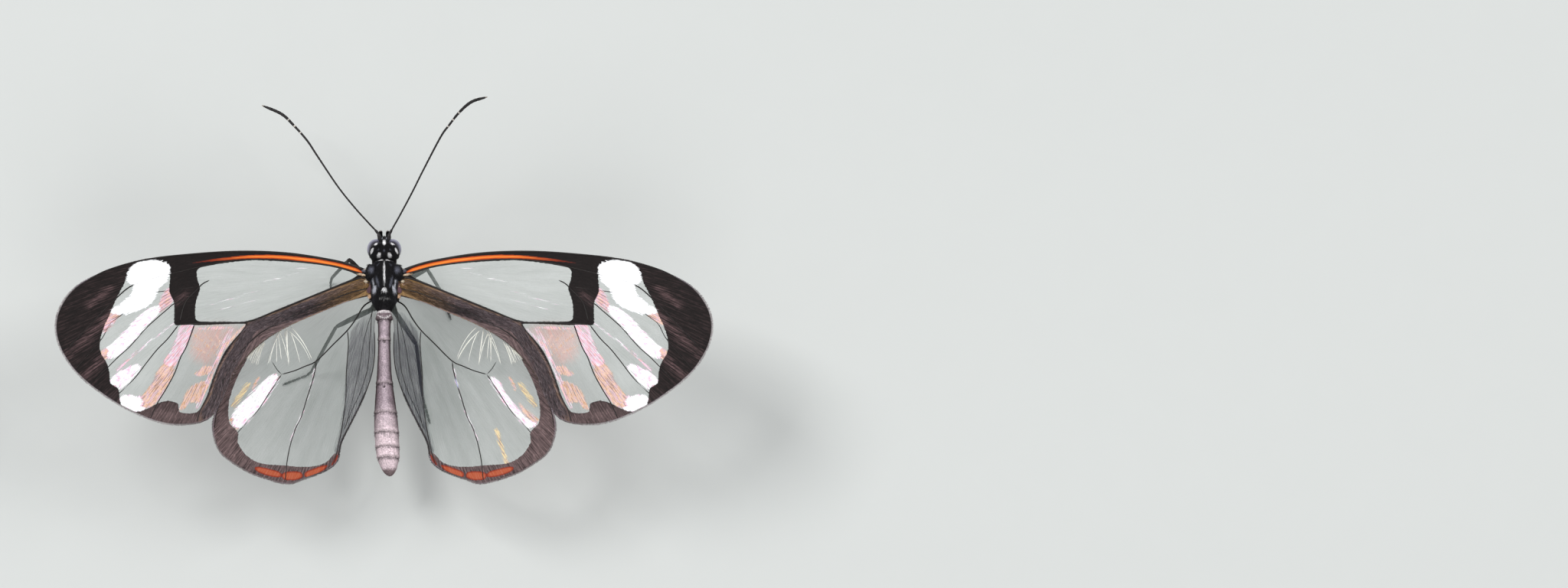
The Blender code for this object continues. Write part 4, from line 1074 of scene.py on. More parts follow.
def buildBandHairs(side, word):
    edge = smoothLine(foreWing["bandEdge"], 0.2)
    whole = wingSides(foreWing)[0]
    count = bandHairs["count"]
    share = rng.uniform(0.02, 0.97, count) ** 1.15
    start, along = placesOn(edge, share, 0.01)
    inward = np.stack((along[:, 1], -along[:, 0]), axis=1)
    # how wide the band is along its length
    room = np.interp(share, (0.0, 0.15, 0.5, 0.8, 1.0), (1.2, 1.5, 1.15, 1.3, 0.8))
    plan = start + inward * (room * rng.uniform(0.16, 1.0, count))[:, None]
    good = (insideBy(plan, whole) > 0.12) & (insideBy(plan + along * 0.9, whole) > 0.02)
    plan, along = plan[good], along[good]
    count = len(plan)
    x = plan[:, 0]
    # golden at the root, and a painted shadow darkens the far half of the band near the body
    root = clamp(1 - (x - 1.6) / 4.5)[:, None] * rng.uniform(0.3, 1.0, (count, 1))
    across = lineDistance(plan, edge) / np.interp(x, (2.0, 12.0), (1.5, 1.2))
    shadow = clamp((9.5 - x) / 3.0) * clamp((across - 0.35) * 5)
    mauve = np.array(bandHairs["colour"]) * (1 - bandHairs["shadow"] * shadow)[:, None]
    colours = mauve * (1 - root) + np.array(bandHairs["rootColour"]) * root
    colours = colours * rng.uniform(0.45, 1.9, (count, 1))
    way = along + rng.normal(0, 0.10, (count, 2))
    growCoat("bandHairs" + word, (
        onWing(foreWing, plan, side, 0.02), wingNormals(foreWing, plan, side),
        wingLies(way, side, wingShape["rise"]), rng.uniform(0.45, 0.95, count),
        rng.uniform(0.022, 0.040, count), rng.uniform(0.03, 0.16, count), colours, wingBake(plan),
    ), "wingHair", "forewing")


pencils = {
    # roots and tips of the long pale hairs, on the hindwing
    "hairs": [
        ((8.14, -4.47), (6.25, -7.28)), ((8.36, -4.84), (6.35, -7.35)), ((8.14, -4.95), (7.25, -7.65)),
        ((8.65, -4.85), (8.20, -7.95)), ((9.05, -5.05), (8.25, -7.80)), ((8.55, -4.75), (8.40, -7.00)),
        ((9.20, -5.20), (8.95, -7.40)), ((9.35, -5.30), (9.25, -7.75)), ((8.87, -4.70), (10.05, -7.95)),
        ((8.95, -4.78), (10.15, -7.98)),
        ((10.32, -5.95), (11.05, -8.10)), ((10.45, -6.05), (11.12, -8.15)), ((10.50, -6.10), (11.30, -7.98)),
        ((10.65, -6.20), (11.38, -7.95)), ((10.83, -6.35), (11.56, -7.88)), ((11.00, -6.50), (11.70, -7.80)),
        ((11.10, -6.60), (11.82, -7.72)), ((11.25, -6.72), (11.90, -7.62)), ((11.40, -6.85), (11.95, -7.52)),
        ((11.55, -7.00), (12.02, -7.45)), ((10.95, -6.45), (11.95, -7.60)), ((10.75, -6.30), (11.85, -7.70))],
    "radius": 0.036, "arch": 0.55, "lift": 0.22, "colour": (0.94, 0.93, 0.85),
}


def buildPencils(side, word):
    bm = bmesh.new()
    t = np.linspace(0, 1, 14)
    sine, cosine = np.sin(t * math.pi / 2), np.cos(t * math.pi / 2)
    for root, tip in pencils["hairs"]:
        for _ in range(rng.integers(1, 3)):
            shake = rng.normal(0, 0.06, 4)
            a = np.array(root) + shake[:2]
            b = np.array(tip) + shake[2:]
            # sideways first, then rearwards
            swing = rng.uniform(0.1, 0.4)
            bow = np.stack((t * (1 - swing) + sine * swing, t * (1 - swing) + (1 - cosine) * swing), axis=1)
            lift = pencils["lift"] + pencils["arch"] * np.sin(t * math.pi) * rng.uniform(0.3, 0.9)
            path = onWing(hindWing, a + (b - a) * bow, side, lift)
            addTube(bm, path, pencils["radius"] * (1 - 0.55 * t), 5)
    addPainted(bm, "hairPencils" + word, pencils["colour"], "wingHair", "hindwing")


# one skin over head, thorax and abdomen
body = {
    # y, x of the middle, top, bottom, half width, squareness
    "stations": [
        (3.87, 0, -1.22, -1.26, 0.01, 2.1), (3.84, 0, -1.02, -1.46, 0.17, 2.2),
        (3.74, 0, -0.80, -1.68, 0.33, 2.2), (3.55, 0, -0.52, -1.90, 0.50, 2.3),
        (3.25, 0, -0.31, -2.04, 0.62, 2.4), (2.85, 0, -0.23, -2.12, 0.70, 2.5),
        (2.45, 0, -0.23, -2.12, 0.72, 2.5), (2.15, 0, -0.33, -2.05, 0.66, 2.4),
        (1.95, 0, -0.55, -1.95, 0.52, 2.3), (1.80, 0, -0.72, -1.90, 0.46, 2.2),
        (1.66, 0, -0.58, -2.10, 0.60, 2.3), (1.48, 0, -0.36, -2.45, 0.84, 2.4),
        (1.20, 0, -0.20, -2.80, 1.04, 2.5), (0.70, 0, -0.10, -3.12, 1.22, 2.5),
        (-0.20, 0, -0.07, -3.27, 1.31, 2.5), (-1.10, 0, -0.12, -3.27, 1.24, 2.5),
        (-1.75, 0, -0.42, -3.10, 1.04, 2.5), (-2.20, 0, -0.85, -2.86, 0.80, 2.3),
        (-2.48, 0, -1.22, -2.66, 0.62, 2.2), (-2.62, 0, -1.32, -2.60, 0.58, 2.1),
        (-2.90, 0, -1.30, -2.62, 0.66, 2.1), (-3.22, 0, -1.34, -2.68, 0.70, 2.1),
        (-3.42, 0, -1.46, -2.66, 0.60, 2.1), (-4.00, 0, -1.48, -2.62, 0.53, 2.1),
        (-5.20, 0, -1.62, -2.78, 0.52, 2.1), (-7.70, 0, -1.79, -3.10, 0.60, 2.1),
        (-9.20, 0.03, -1.93, -3.48, 0.73, 2.1), (-10.8, 0.09, -1.95, -3.80, 0.90, 2.1),
        (-13.2, 0.20, -1.80, -3.92, 1.04, 2.1), (-15.0, 0.31, -1.90, -3.94, 1.00, 2.1),
        (-16.3, 0.41, -2.18, -3.66, 0.70, 2.1), (-16.8, 0.45, -2.42, -3.35, 0.42, 2.1),
        (-17.0, 0.47, -2.68, -3.10, 0.20, 2.1), (-17.06, 0.48, -2.86, -2.90, 0.01, 2.1)],
    "rings": [-3.40, -5.20, -8.98, -11.55, -13.30, -14.56, -15.53],
    "ringDepths": (0.9, 0.55, 0.8, 0.6, 0.9, 0.9, 0.95), "lip": 0.035, "groove": 0.06,
    "waist": -2.6, "ringSteps": (0.035, 0.055),
    # swellings of the back: x, y, half width, half length, height; mirrored where x isn't 0
    "swellings": [
        (0, -1.18, 0.50, 0.34, 0.15), (0, -0.78, 0.70, 0.07, -0.06), (0, 0.4, 0.05, 1.0, -0.035),
        (0.55, 0.35, 0.45, 0.9, 0.04), (1.10, 0.62, 0.20, 0.42, 0.10), (0.36, 1.52, 0.24, 0.09, 0.10),
        (0, 2.45, 0.30, 0.30, 0.04), (0, -1.78, 0.6, 0.10, 0.04)],
    "sides": 84,
}

marks = {
    # x, y, half width, half length, turn in degrees; mirrored where x isn't 0
    "white": [
        (0, 3.15, 0.13, 0.18, 0), (0.725, 3.11, 0.165, 0.165, 0), (1.035, 2.46, 0.10, 0.25, -20),
        (0.44, 2.13, 0.155, 0.18, -24), (0.255, 1.66, 0.145, 0.10, 0), (0, 0.46, 0.075, 1.03, 0),
        (0, -1.06, 0.20, 0.16, 0)],
    "pale": [(0.83, -0.90, 0.17, 0.27, -12), (0.92, -0.30, 0.06, 0.42, 6), (0.19, 3.50, 0.08, 0.08, 0)],
    "grey": [
        (0.03, 2.50, 0.055, 0.075, 0), (0.49, 2.60, 0.07, 0.055, 30), (0.48, 1.30, 0.06, 0.05, 0),
        (1.10, 0.20, 0.10, 0.30, 0), (0.55, -0.2, 0.10, 0.5, 12)],
    "dots": [(0, -5.30, 0.13, 0.09, 0), (0, -9.24, 0.12, 0.09, 0)],
    "dotsColour": (0.035, 0.024, 0.024),
    "whiteColour": (0.92, 0.91, 0.92), "paleColour": (0.64, 0.65, 0.72), "greyColour": (0.13, 0.135, 0.17),
}


def bothSides(rows):
    # a row whose x isn't 0 stands on either side
    for row in rows:
        for side in ((1, -1) if row[0] else (1,)):
            yield side, row


def bodySurface(y, a):
    y = np.asarray(y, float)
    x0, top, bottom, half, power = easeRows(body["stations"], y)
    c, s = np.cos(a), np.sin(a)
    lip = np.zeros_like(y)
    for end in body["rings"]:
        lip += body["lip"] * gauss(y - end - 0.14, 0.16) - body["groove"] * gauss(y - end + 0.02, 0.055)
    x = (half + lip) * np.sign(c) * np.abs(c) ** (2 / power)
    z = (top - bottom + 2 * lip) / 2 * np.sign(s) * np.abs(s) ** (2 / power)
    for side, (bx, by, halfWidth, halfLength, height) in bothSides(body["swellings"]):
        z += height * gauss(x - bx * side, halfWidth) * gauss(y - by, halfLength) * clamp(s * 2)
    return np.stack((x + x0, y, z + (top + bottom) / 2), axis=1)


def bodyNormals(y, a):
    alongY = bodySurface(y + 0.02, a) - bodySurface(y - 0.02, a)
    around = bodySurface(y, a + 0.02) - bodySurface(y, a - 0.02)
    return unit(np.cross(alongY, around))


def spotMask(x, y, spots, soft):
    found = np.zeros(len(x))
    for side, (sx, sy, halfWidth, halfLength, turn) in bothSides(spots):
        angle = math.radians(turn) * side
        dx, dy = x - sx * side, y - sy
        along = dx * math.sin(angle) + dy * math.cos(angle)
        across = dx * math.cos(angle) - dy * math.sin(angle)
        reach = np.hypot(across / halfWidth, along / halfLength)
        found = np.maximum(found, clamp((1 + soft - reach) / (2 * soft)))
    return found


def bodyColours(places, normals):
    x, y = places[:, 0], places[:, 1]
    up = normals[:, 2]
    colour = np.tile((0.0080, 0.0070, 0.0090), (len(places), 1))

    def lay(mask, paint):
        colour[:] += (np.array(paint) - colour) * clamp(mask)[:, None]

    # black above on head and thorax, greyer down the sides, brown below
    thorax = clamp((1.7 - y) * 4) * clamp((y + 1.9) * 4)
    lay(thorax * clamp(0.75 - up) * 0.8, (0.060, 0.058, 0.070))
    lay(clamp(-up * 2) * thorax, (0.16, 0.14, 0.12))
    # mauve abdomen with a painted highlight along its middle, a tail paler in its own colour and painted
    # brighter still, and painted shade on its sides
    belly = clamp((-2.60 - y) * 14)
    tail = clamp((-10.5 - y) / 3.5)
    lay(belly, (0.26, 0.198, 0.225))
    lay(belly * gauss(x - easeRows(body["stations"], y)[0], 0.30 + 0.45 * tail), (0.56, 0.455, 0.505))
    lay(belly * tail * 0.8, (0.88, 0.72, 0.755))
    lay(belly * clamp((0.78 - up) * 2.2) * (1 - 0.6 * tail), (0.050, 0.030, 0.033))
    lay(belly * clamp(-up * 2), (0.34, 0.30, 0.25))
    # each ring ends in a dark line, with a pale one before it
    for end, depth in zip(body["rings"], body["ringDepths"]):
        lay(depth * gauss(y - end + 0.03, 0.07), (0.022, 0.014, 0.015))
        lay(0.55 * gauss(y - end - 0.16, 0.08) * clamp(up * 1.5), (0.50, 0.42, 0.42))
    colour *= 1 + 0.22 * (belly * wobble(places, 0.55, 21))[:, None]
    # the pale V of the first ring, and small dark dots on the back
    lay(clamp((y + 3.36) * 12) * belly * 0.75, (0.15, 0.105, 0.115))
    boat = np.minimum(np.abs(y + 3.24 - 0.95 * x * x), np.abs(y + 2.72) + 0.01)
    lay(clamp((0.085 - boat) / 0.04) * clamp(up * 2) * (np.abs(x) < 0.66), (0.80, 0.74, 0.75))
    lay(spotMask(x, y, marks["dots"], 0.5) * (up > 0), marks["dotsColour"])
    # the brown tip of the tail
    lay(np.clip((-16.35 - y) * 3, 0, 0.85), (0.125, 0.075, 0.075))
    topSide = (up > 0.05) & (y > -2.5)
    lay(spotMask(x, y, marks["grey"], 0.35) * topSide, marks["greyColour"])
    lay(spotMask(x, y, marks["pale"], 0.30) * topSide, marks["paleColour"])
    lay(gauss(y + 1.70 - 0.5 * x * x, 0.035) * (np.abs(x) < 0.48) * topSide, (0.30, 0.29, 0.29))
    lay(spotMask(x, y, marks["white"], 0.16) * topSide, marks["whiteColour"])
    return colour


def buildSkin():
    # rings close together on head and thorax, wider apart on the abdomen
    front, waist, tail = body["stations"][0][0], body["waist"], body["stations"][-1][0]
    fine, coarse = body["ringSteps"]
    ys = np.concatenate((np.arange(front, waist, -fine), np.arange(waist, tail, -coarse), [tail]))
    bm = bmesh.new()
    addRings(bm, body["sides"], len(ys), lambda k, angle: bodySurface(ys[k], angle))
    rims = [edge for edge in bm.edges if len(edge.link_faces) == 1]
    bmesh.ops.holes_fill(bm, edges=rims, sides=0)
    mesh = meshFrom(bm, "bodySkin")
    putPaint(mesh, bodyColours(meshPlaces(mesh), meshRows(mesh.vertex_normals, "vector")))
    addPiece(mesh, "bodyScales", "body", "head", "thorax", "abdomen")


def coatRoots(front, back, spacing):
    # a shaken lattice of places over the skin
    ys, angles = [], []
    y = front
    while y > back:
        _, top, bottom, half, _ = easeRows(body["stations"], [y])[:, 0]
        count = max(4, int(math.tau * math.hypot(half, (top - bottom) / 2) / 1.414 / spacing))
        angles.append((np.arange(count) + 0.5 * (len(ys) % 2)) / count * math.tau)
        ys.append(np.full(count, y))
        y -= spacing * 0.9
    ys, angles = np.concatenate(ys), np.concatenate(angles)
    ys = ys + rng.normal(0, spacing * 0.25, len(ys))
    return ys, angles + rng.normal(0, spacing * 0.3, len(angles))


coats = {
    # front, back, spacing, length, width, lift in radians, how far the lift strays, thickness
    "headCoat": (3.80, 1.80, 0.046, 0.21, 0.034, 0.42, 0.22, 0.40),
    "thoraxCoat": (1.80, -2.50, 0.052, 0.36, 0.042, 0.20, 0.12, 0.35),
    "abdomenCoat": (-2.62, -17.0, 0.066, 0.17, 0.078, 0.09, 0.05, 0.16),
    "lapLocks": 5200,
}


def bakeSpots(places):
    # where each place lies on the unwrapped body
    x0, top, bottom = easeRows(body["stations"], places[:, 1])[:3]
    around = np.arctan2(places[:, 2] - (top + bottom) / 2, places[:, 0] - x0)
    return np.stack((around / math.tau + 0.5, (places[:, 1] + 17.1) / 21.0), axis=1)


def buildBodyCoats():
    for name in ("headCoat", "thoraxCoat", "abdomenCoat"):
        front, back, spacing, length, width, lift, stray, flat = coats[name]
        ys, angles = coatRoots(front, back, spacing)
        places = bodySurface(ys, angles)
        normals = bodyNormals(ys, angles)
        if name == "headCoat":
            # none on the eyes, but on the laps over them
            clear = np.full(len(places), 1e9)
            for side, _ in sides:
                away = (places - onSide(eyes["centre"], side)) / eyes["radii"]
                clear = np.minimum(clear, np.linalg.norm(away, axis=1) - 0.96)
            lapPlaces, lapNormals = eyeCapRoots(coats["lapLocks"])
            places = np.concatenate((places[clear > 0], lapPlaces))
            normals = np.concatenate((normals[clear > 0], lapNormals))
        count = len(places)
        x, y = places[:, 0], places[:, 1]
        lies = (0.0, -1.0, 0.0) + rng.normal(0, 0.14, (count, 3))
        if name == "headCoat":
            lies[:, 0] += 0.8 * x
            lies[:, 1] += np.where(y > 3.15, 1.8, 0.0)
        if name == "thoraxCoat":
            # the locks beside the white line part to the sides
            lies[:, 0] += 0.25 * x * (np.abs(x) > 0.12)
            lies[:, 0] += 0.45 * np.sign(x) * gauss(np.abs(x) - 0.17, 0.07)
        colours = bodyColours(places, normals)
        bright = (colours.max(axis=1) > 0.4) & (y > -2.5)
        lengths = np.where(bright, 0.75, 1.0) * length * rng.uniform(0.7, 1.3, count)
        # dark locks stop short of a white spot
        ahead = bodyColours(places + unit(lies) * lengths[:, None], normals).max(axis=1) > 0.4
        lengths = np.where(ahead & ~bright & (y > -2.5), 0.45, 1.0) * lengths
        lifts = np.clip(rng.normal(lift, stray, count), 0.03, 1.2)
        growCoat(name, (
            places, normals, lies, lengths, width * rng.uniform(0.7, 1.2, count), lifts, colours,
            bakeSpots(places)), "bodyHair", "abdomen" if name == "abdomenCoat" else "body", flat)
        print(name, count, "locks")


eyes = {
    "centre": (0.72, 2.72, -1.12), "radii": (0.78, 0.92, 0.95),
    # the scaled part of the head that laps over each eye: its direction, and how far it reaches
    "capTowards": (-0.40, -0.62, 0.68), "capEdge": 0.38, "capSoft": 0.04,
}


def eyeCapBy(out, side):
    # above 0 where the scales lap over the eye
    return unit(out) @ unit(onSide(eyes["capTowards"], side)) - eyes["capEdge"]


def eyeCapRoots(count):
    # places and normals spread evenly over both laps
    k = np.arange(count) + 0.5
    z = 1 - 2 * k / count
    turn = k * math.pi * (1 + math.sqrt(5))
    ball = np.stack((np.cos(turn) * np.sqrt(1 - z * z), np.sin(turn) * np.sqrt(1 - z * z), z), axis=1)
    places, normals = [], []
    for side, _ in sides:
        held = ball[eyeCapBy(ball, side) > 0.0]
        places.append(onSide(eyes["centre"], side) + held * eyes["radii"])
        normals.append(unit(held / eyes["radii"]))
    return np.concatenate(places), np.concatenate(normals)


def buildEye(side, word):
    bm = bmesh.new()
    bmesh.ops.create_icosphere(bm, subdivisions=6, radius=1.0)
    out = np.array([vert.co[:] for vert in bm.verts])
    places = onSide(eyes["centre"], side) + out * eyes["radii"]
    for vert, place in zip(bm.verts, toWorld(places)):
        vert.co = place
    mesh = meshFrom(bm, "eye" + word)
    ragged = 0.03 * wobble(places, 0.16, 4)
    putValues(mesh, "lap", clamp(0.5 + (eyeCapBy(out, side) + ragged) / eyes["capSoft"]))
    # where the painted lilac reflection is strongest: to the front, the outside and the top
    putValues(mesh, "lilacReflection", np.clip(0.35 + out @ np.array((0.35 * side, 0.95, 0.35)), 0.12, 1))
    putPaint(mesh, bodyColours(places, unit(out / eyes["radii"])))
    addPiece(mesh, "eye", "eye", "eye_" + word.lower())


# the flap over each forewing's root
tegula = {
    "centre": (1.22, 0.60, -0.42), "radii": (0.36, 0.66, 0.24), "turn": 14, "locks": 1500,
    "colour": (0.009, 0.008, 0.010), "spotColour": (0.17, 0.175, 0.22),
}
# the little plates of its hinge
hinge = {
    # x, y, lift over the wing, radii, turn in degrees, colour
    "plates": [
        (1.95, 0.36, 0.10, (0.50, 0.075, 0.06), 12, (0.72, 0.56, 0.40)),
        (1.72, 0.74, 0.04, (0.20, 0.15, 0.12), 0, (0.16, 0.16, 0.20)),
        (1.56, -0.22, 0.14, (0.13, 0.11, 0.09), 0, (0.74, 0.64, 0.50)),
        (1.30, -0.80, 0.02, (0.26, 0.46, 0.14), 8, (0.16, 0.085, 0.100)),
        (1.62, -0.62, 0.05, (0.30, 0.22, 0.12), -20, (0.20, 0.115, 0.045)),
        (1.27, -1.46, -0.10, (0.12, 0.19, 0.11), -8, (0.66, 0.44, 0.29)),
        (1.16, -1.72, -0.30, (0.10, 0.10, 0.10), 0, (0.012, 0.010, 0.010))],
    "locksPerMm2": 420, "lockTurn": -35,
}


def turned(x, y, angle, centre=(0.0, 0.0)):
    c, s = math.cos(angle), math.sin(angle)
    return centre[0] + x * c - y * s, centre[1] + x * s + y * c


def addBall(bm, centre, radii, turn, side):
    # a ball drawn out to three radii, turned in plan and mirrored for the left side
    made = bmesh.ops.create_uvsphere(bm, u_segments=24, v_segments=14, radius=1.0)["verts"]
    for vert in made:
        x, y, z = (vert.co[k] * radii[k] for k in range(3))
        across, along = turned(x, y, math.radians(turn), centre)
        vert.co = toWorld((across * side, along, centre[2] + z))
    return made


def ballRoots(centre, radii, turn, side, count):
    # places and normals spread over such a ball, and where each lies on its unwrap
    out = unit(rng.normal(size=(count, 3)))
    x, y, z = (out * radii).T
    spun = np.stack((*turned(x, y, math.radians(turn) * side), z), axis=1)
    bake = np.stack((np.arctan2(out[:, 2], out[:, 0]) / math.tau + 0.5, out[:, 1] * 0.45 + 0.5), axis=1)
    return onSide(centre, side) + spun, unit(spun / np.array(radii) ** 2), bake


def buildTegula(side, word):
    ball = (tegula["centre"], tegula["radii"], tegula["turn"], side)
    centre = onSide(tegula["centre"], side)
    bm = bmesh.new()
    addBall(bm, *ball)

    def paint(places):
        x, y, z = (places - centre).T
        reach = np.hypot((x + 0.11 * side) / 0.21, (y - 0.24) / 0.28)
        grey = (clamp(1.4 - reach) * (z > 0))[:, None]
        return np.array(tegula["colour"]) * (1 - grey) + np.array(tegula["spotColour"]) * grey

    addPainted(bm, "tegula" + word, paint, "bodyScales", "body")
    count = tegula["locks"]
    roots, normals, bake = ballRoots(*ball, count)
    lies = (0.25 * side, -1.0, 0.0) + rng.normal(0, 0.15, (count, 3))
    growCoat("tegula" + word + "Coat", (
        roots, normals, lies, rng.uniform(0.2, 0.4, count), rng.uniform(0.03, 0.05, count),
        np.clip(rng.normal(0.18, 0.10, count), 0.03, 0.8), paint(roots), bake), "bodyHair", "body")


def buildHinge(side, word):
    bm = bmesh.new()
    paints = []
    rows = []
    for k, (x, y, lift, radii, turn, colour) in enumerate(hinge["plates"]):
        ball = ((x, y, float(wingHeight(foreWing, x, y)) + lift), radii, turn, side)
        paints += [colour] * len(addBall(bm, *ball))
        count = int(hinge["locksPerMm2"] * 12 * radii[0] * radii[1])
        roots, normals, bake = ballRoots(*ball, count)
        angle = math.radians(turn + hinge["lockTurn"])
        lies = (math.cos(angle) * side, math.sin(angle), 0.0) + rng.normal(0, 0.25, (count, 3))
        bake[:, 0] = (k + bake[:, 0]) / len(hinge["plates"])
        rows.append((roots, normals, lies, np.array(colour) * rng.uniform(0.8, 1.25, (count, 1)), bake))
    addPainted(bm, "hingePlates" + word, np.array(paints), "bodyScales", "body")
    roots, normals, lies, colours, bake = [np.concatenate(column) for column in zip(*rows)]
    count = len(roots)
    growCoat("hingePlates" + word + "Coat", (
        roots, normals, lies, rng.uniform(0.10, 0.22, count), rng.uniform(0.025, 0.045, count),
        np.clip(rng.normal(0.15, 0.12, count), 0.02, 0.9), colours, bake), "bodyHair", "body", 0.3)


feelers = {
    "left": [(-0.36, 3.35, -0.62), (-0.55, 4.02, -0.52), (-1.35, 4.95, -0.57), (-2.55, 6.35, -0.72),
             (-4.04, 8.32, -0.97), (-5.84, 11.16, -1.36), (-6.74, 12.60, -1.57), (-7.93, 14.04, -1.82),
             (-8.99, 15.09, -2.02), (-10.71, 15.93, -2.30)],
    "right": [(0.33, 3.35, -0.62), (0.50, 4.02, -0.48), (1.34, 5.50, -0.09), (2.38, 7.33, 0.61),
              (3.42, 9.26, 1.50), (4.90, 11.84, 2.87), (5.64, 12.77, 3.46), (6.53, 13.76, 4.14),
              (7.60, 14.52, 4.85), (8.97, 14.78, 5.60)],
    "segment": 0.40, "colour": (0.011, 0.009, 0.009),
    "glintColour": (0.50, 0.46, 0.42), "tipColour": (0.30, 0.26, 0.22),
    # share of the length, radius
    "profile": [(0.0, 0.15), (0.030, 0.165), (0.042, 0.10), (0.055, 0.125), (0.068, 0.078), (0.35, 0.078),
                (0.62, 0.088), (0.76, 0.105), (0.88, 0.140), (0.95, 0.135), (0.985, 0.085), (1.0, 0.03)],
}


def buildFeeler(side, word):
    path = smoothLine(feelers[word.lower()], 0.055)
    steps = reachAlong(path)
    share = steps / steps[-1]
    place = (steps / feelers["segment"]) % 1.0
    # a fine waist between the segments
    waist = gauss(np.minimum(place, 1 - place), 0.09) * (share > 0.07)
    bm = bmesh.new()
    addTube(bm, path, np.interp(share, *np.array(feelers["profile"]).T) * (1 - 0.16 * waist), 14)

    def paint(places):
        nearest = np.array([np.argmin(np.linalg.norm(path - spot, axis=1)) for spot in places])
        s = share[nearest]
        even = np.floor(steps[nearest] / feelers["segment"]) % 2 == 0
        # painted highlights on the upper side of every other segment below the club, and a pale tip
        glint = (np.abs(place[nearest] - 0.75) < 0.14) & (s > 0.70) & (s < 0.84)
        colours = np.tile(feelers["colour"], (len(places), 1))
        colours[glint & even & (places[:, 2] > path[nearest][:, 2])] = feelers["glintColour"]
        colours[s > 0.988] = feelers["tipColour"]
        return colours

    addPainted(bm, "feeler" + word, paint, "limbScales", "antenna", "antenna_" + word.lower())


palps = {
    "points": [(0.22, 3.50, -1.95), (0.32, 3.66, -2.35), (0.36, 4.02, -2.15), (0.34, 4.26, -1.62),
               (0.30, 4.32, -1.08)],
    "shares": [0, 0.08, 0.35, 0.62, 0.85, 1.0], "radii": [0.0, 0.13, 0.17, 0.15, 0.09, 0.0], "locks": 900,
    "colour": (0.014, 0.012, 0.013), "frontColour": (0.55, 0.52, 0.50),
}


def roundRoots(path, shares, radii, count):
    # places, normals and lies spread over a round limb, and where each lies on its unwrap
    at = rng.uniform(0.06, 0.98, count)
    turn = rng.uniform(0, math.tau, count)
    along = unit(alongLine(path, np.minimum(at + 0.02, 1.0)) - alongLine(path, np.maximum(at - 0.02, 0.0)))
    aside = unit(np.cross(along, (0.3, 1.0, 0.2)))
    out = aside * np.cos(turn)[:, None] + np.cross(aside, along) * np.sin(turn)[:, None]
    roots = alongLine(path, at) + out * np.interp(at, shares, radii)[:, None]
    return roots, out, along, np.stack((turn / math.tau, at), axis=1)


def buildPalp(side, word):
    path = smoothLine(onSide(palps["points"], side), 0.06)
    bm = bmesh.new()
    addTube(bm, path, np.interp(np.linspace(0, 1, len(path)), palps["shares"], palps["radii"]), 16)
    addPainted(bm, "palp" + word, palps["colour"], "bodyHair", "limb", "palp_" + word.lower())
    count = palps["locks"]
    roots, out, along, bake = roundRoots(path, palps["shares"], palps["radii"], count)
    colours = np.where((out[:, 1] > 0.2)[:, None], palps["frontColour"], palps["colour"])
    growCoat("palp" + word + "Coat", (
        roots, out, along, rng.uniform(0.14, 0.26, count), np.full(count, 0.035),
        rng.uniform(0.2, 0.6, count), colours, bake), "bodyHair", "limb")


tongue = {
    "centre": (0.0, 3.15, -2.95), "outer": 0.34, "inner": 0.12, "turns": 2.4, "thick": 0.075,
    "lead": [(0, 3.30, -1.90), (0, 3.36, -2.25)], "colour": (0.045, 0.022, 0.012),
}


def buildTongue():
    t = np.linspace(0, 1, 130)
    a = math.radians(70) - t * tongue["turns"] * math.tau
    r = tongue["outer"] + (tongue["inner"] - tongue["outer"]) * t
    spiral = np.stack((0 * t, r * np.cos(a), r * np.sin(a)), axis=1) + tongue["centre"]
    path = np.vstack((smoothLine([*tongue["lead"], tuple(spiral[0])], 0.05)[:-1], spiral))
    radii = np.interp(np.linspace(0, 1, len(path)), (0, 0.02, 0.9, 1), (0, tongue["thick"], 0.04, 0.0))
    bm = bmesh.new()
    addTube(bm, path, radii, 10)
    addPainted(bm, "rolledTongue", tongue["colour"], "limbScales", "limb", "proboscis")


footHeight = -backTop + 0.10
legs = {
    "midLegLeft": [(-0.62, -0.2, -3.0), (-1.05, 0.15, -3.75), (-3.02, 2.05, -2.1), (-4.60, 1.55, -7.2),
                   (-4.72, 1.2, footHeight), (-4.50, -0.7, footHeight)],
    "midLegRight": [(0.62, -0.2, -3.0), (1.05, 0.0, -3.75), (3.72, 1.2, -2.1), (4.95, 0.35, -7.2),
                    (5.12, 0.0, footHeight), (5.80, -1.9, footHeight)],
    "hindLegLeft": [(-0.55, -1.65, -2.9), (-1.0, -2.0, -3.80), (-4.20, -3.9, -2.45), (-6.35, -6.8, -7.3),
                    (-6.75, -7.0, footHeight), (-8.75, -7.8, footHeight)],
    "hindLegRight": [(0.55, -1.65, -2.9), (0.90, -2.2, -3.80), (2.80, -5.4, -2.85), (3.28, -8.5, -7.3),
                     (3.35, -8.9, footHeight), (3.95, -11.2, footHeight)],
    # the small folded forelegs, on the right side
    "foreLeg": [(0.45, 0.9, -2.6), (0.60, 1.0, -3.45), (0.85, 1.55, -3.60), (0.95, 2.55, -3.15),
                (0.75, 3.20, -2.85)],
}
legForm = {
    "coxa": 0.27, "femur": 0.185, "tibia": 0.115, "tarsus": 0.088, "joints": 5, "scalesPerMm2": 190,
    "spines": 9, "foreLeg": (0.16, 0.13, 0.12, 0.09), "colour": (0.017, 0.014, 0.014),
    "scaleColour": (0.022, 0.017, 0.016), "spineColour": (0.030, 0.020, 0.014),
}


def limbRadii(count, start, middle, end):
    t = np.linspace(0, 1, count)
    radii = start * (1 - t) ** 2 + 2 * middle * t * (1 - t) + end * t * t
    radii[0] = radii[-1] = 0.0
    return radii


def limbPath(a, b, bend):
    t = np.linspace(0, 1, max(8, int(np.linalg.norm(b - a) / 0.12)))[:, None]
    return a + (b - a) * t + np.array((0, 0, bend)) * np.sin(t * math.pi)


def addLimb(bm, a, b, start, middle, end, bend=0.0):
    # one length of a leg, its ends sunk a little into its neighbours
    path = limbPath(a, b, bend)
    path[0] -= unit(b - a) * start * 0.6
    path[-1] += unit(b - a) * end * 0.6
    addTube(bm, path, limbRadii(len(path), start * 1.25, middle * 1.25, end * 1.25), 12)


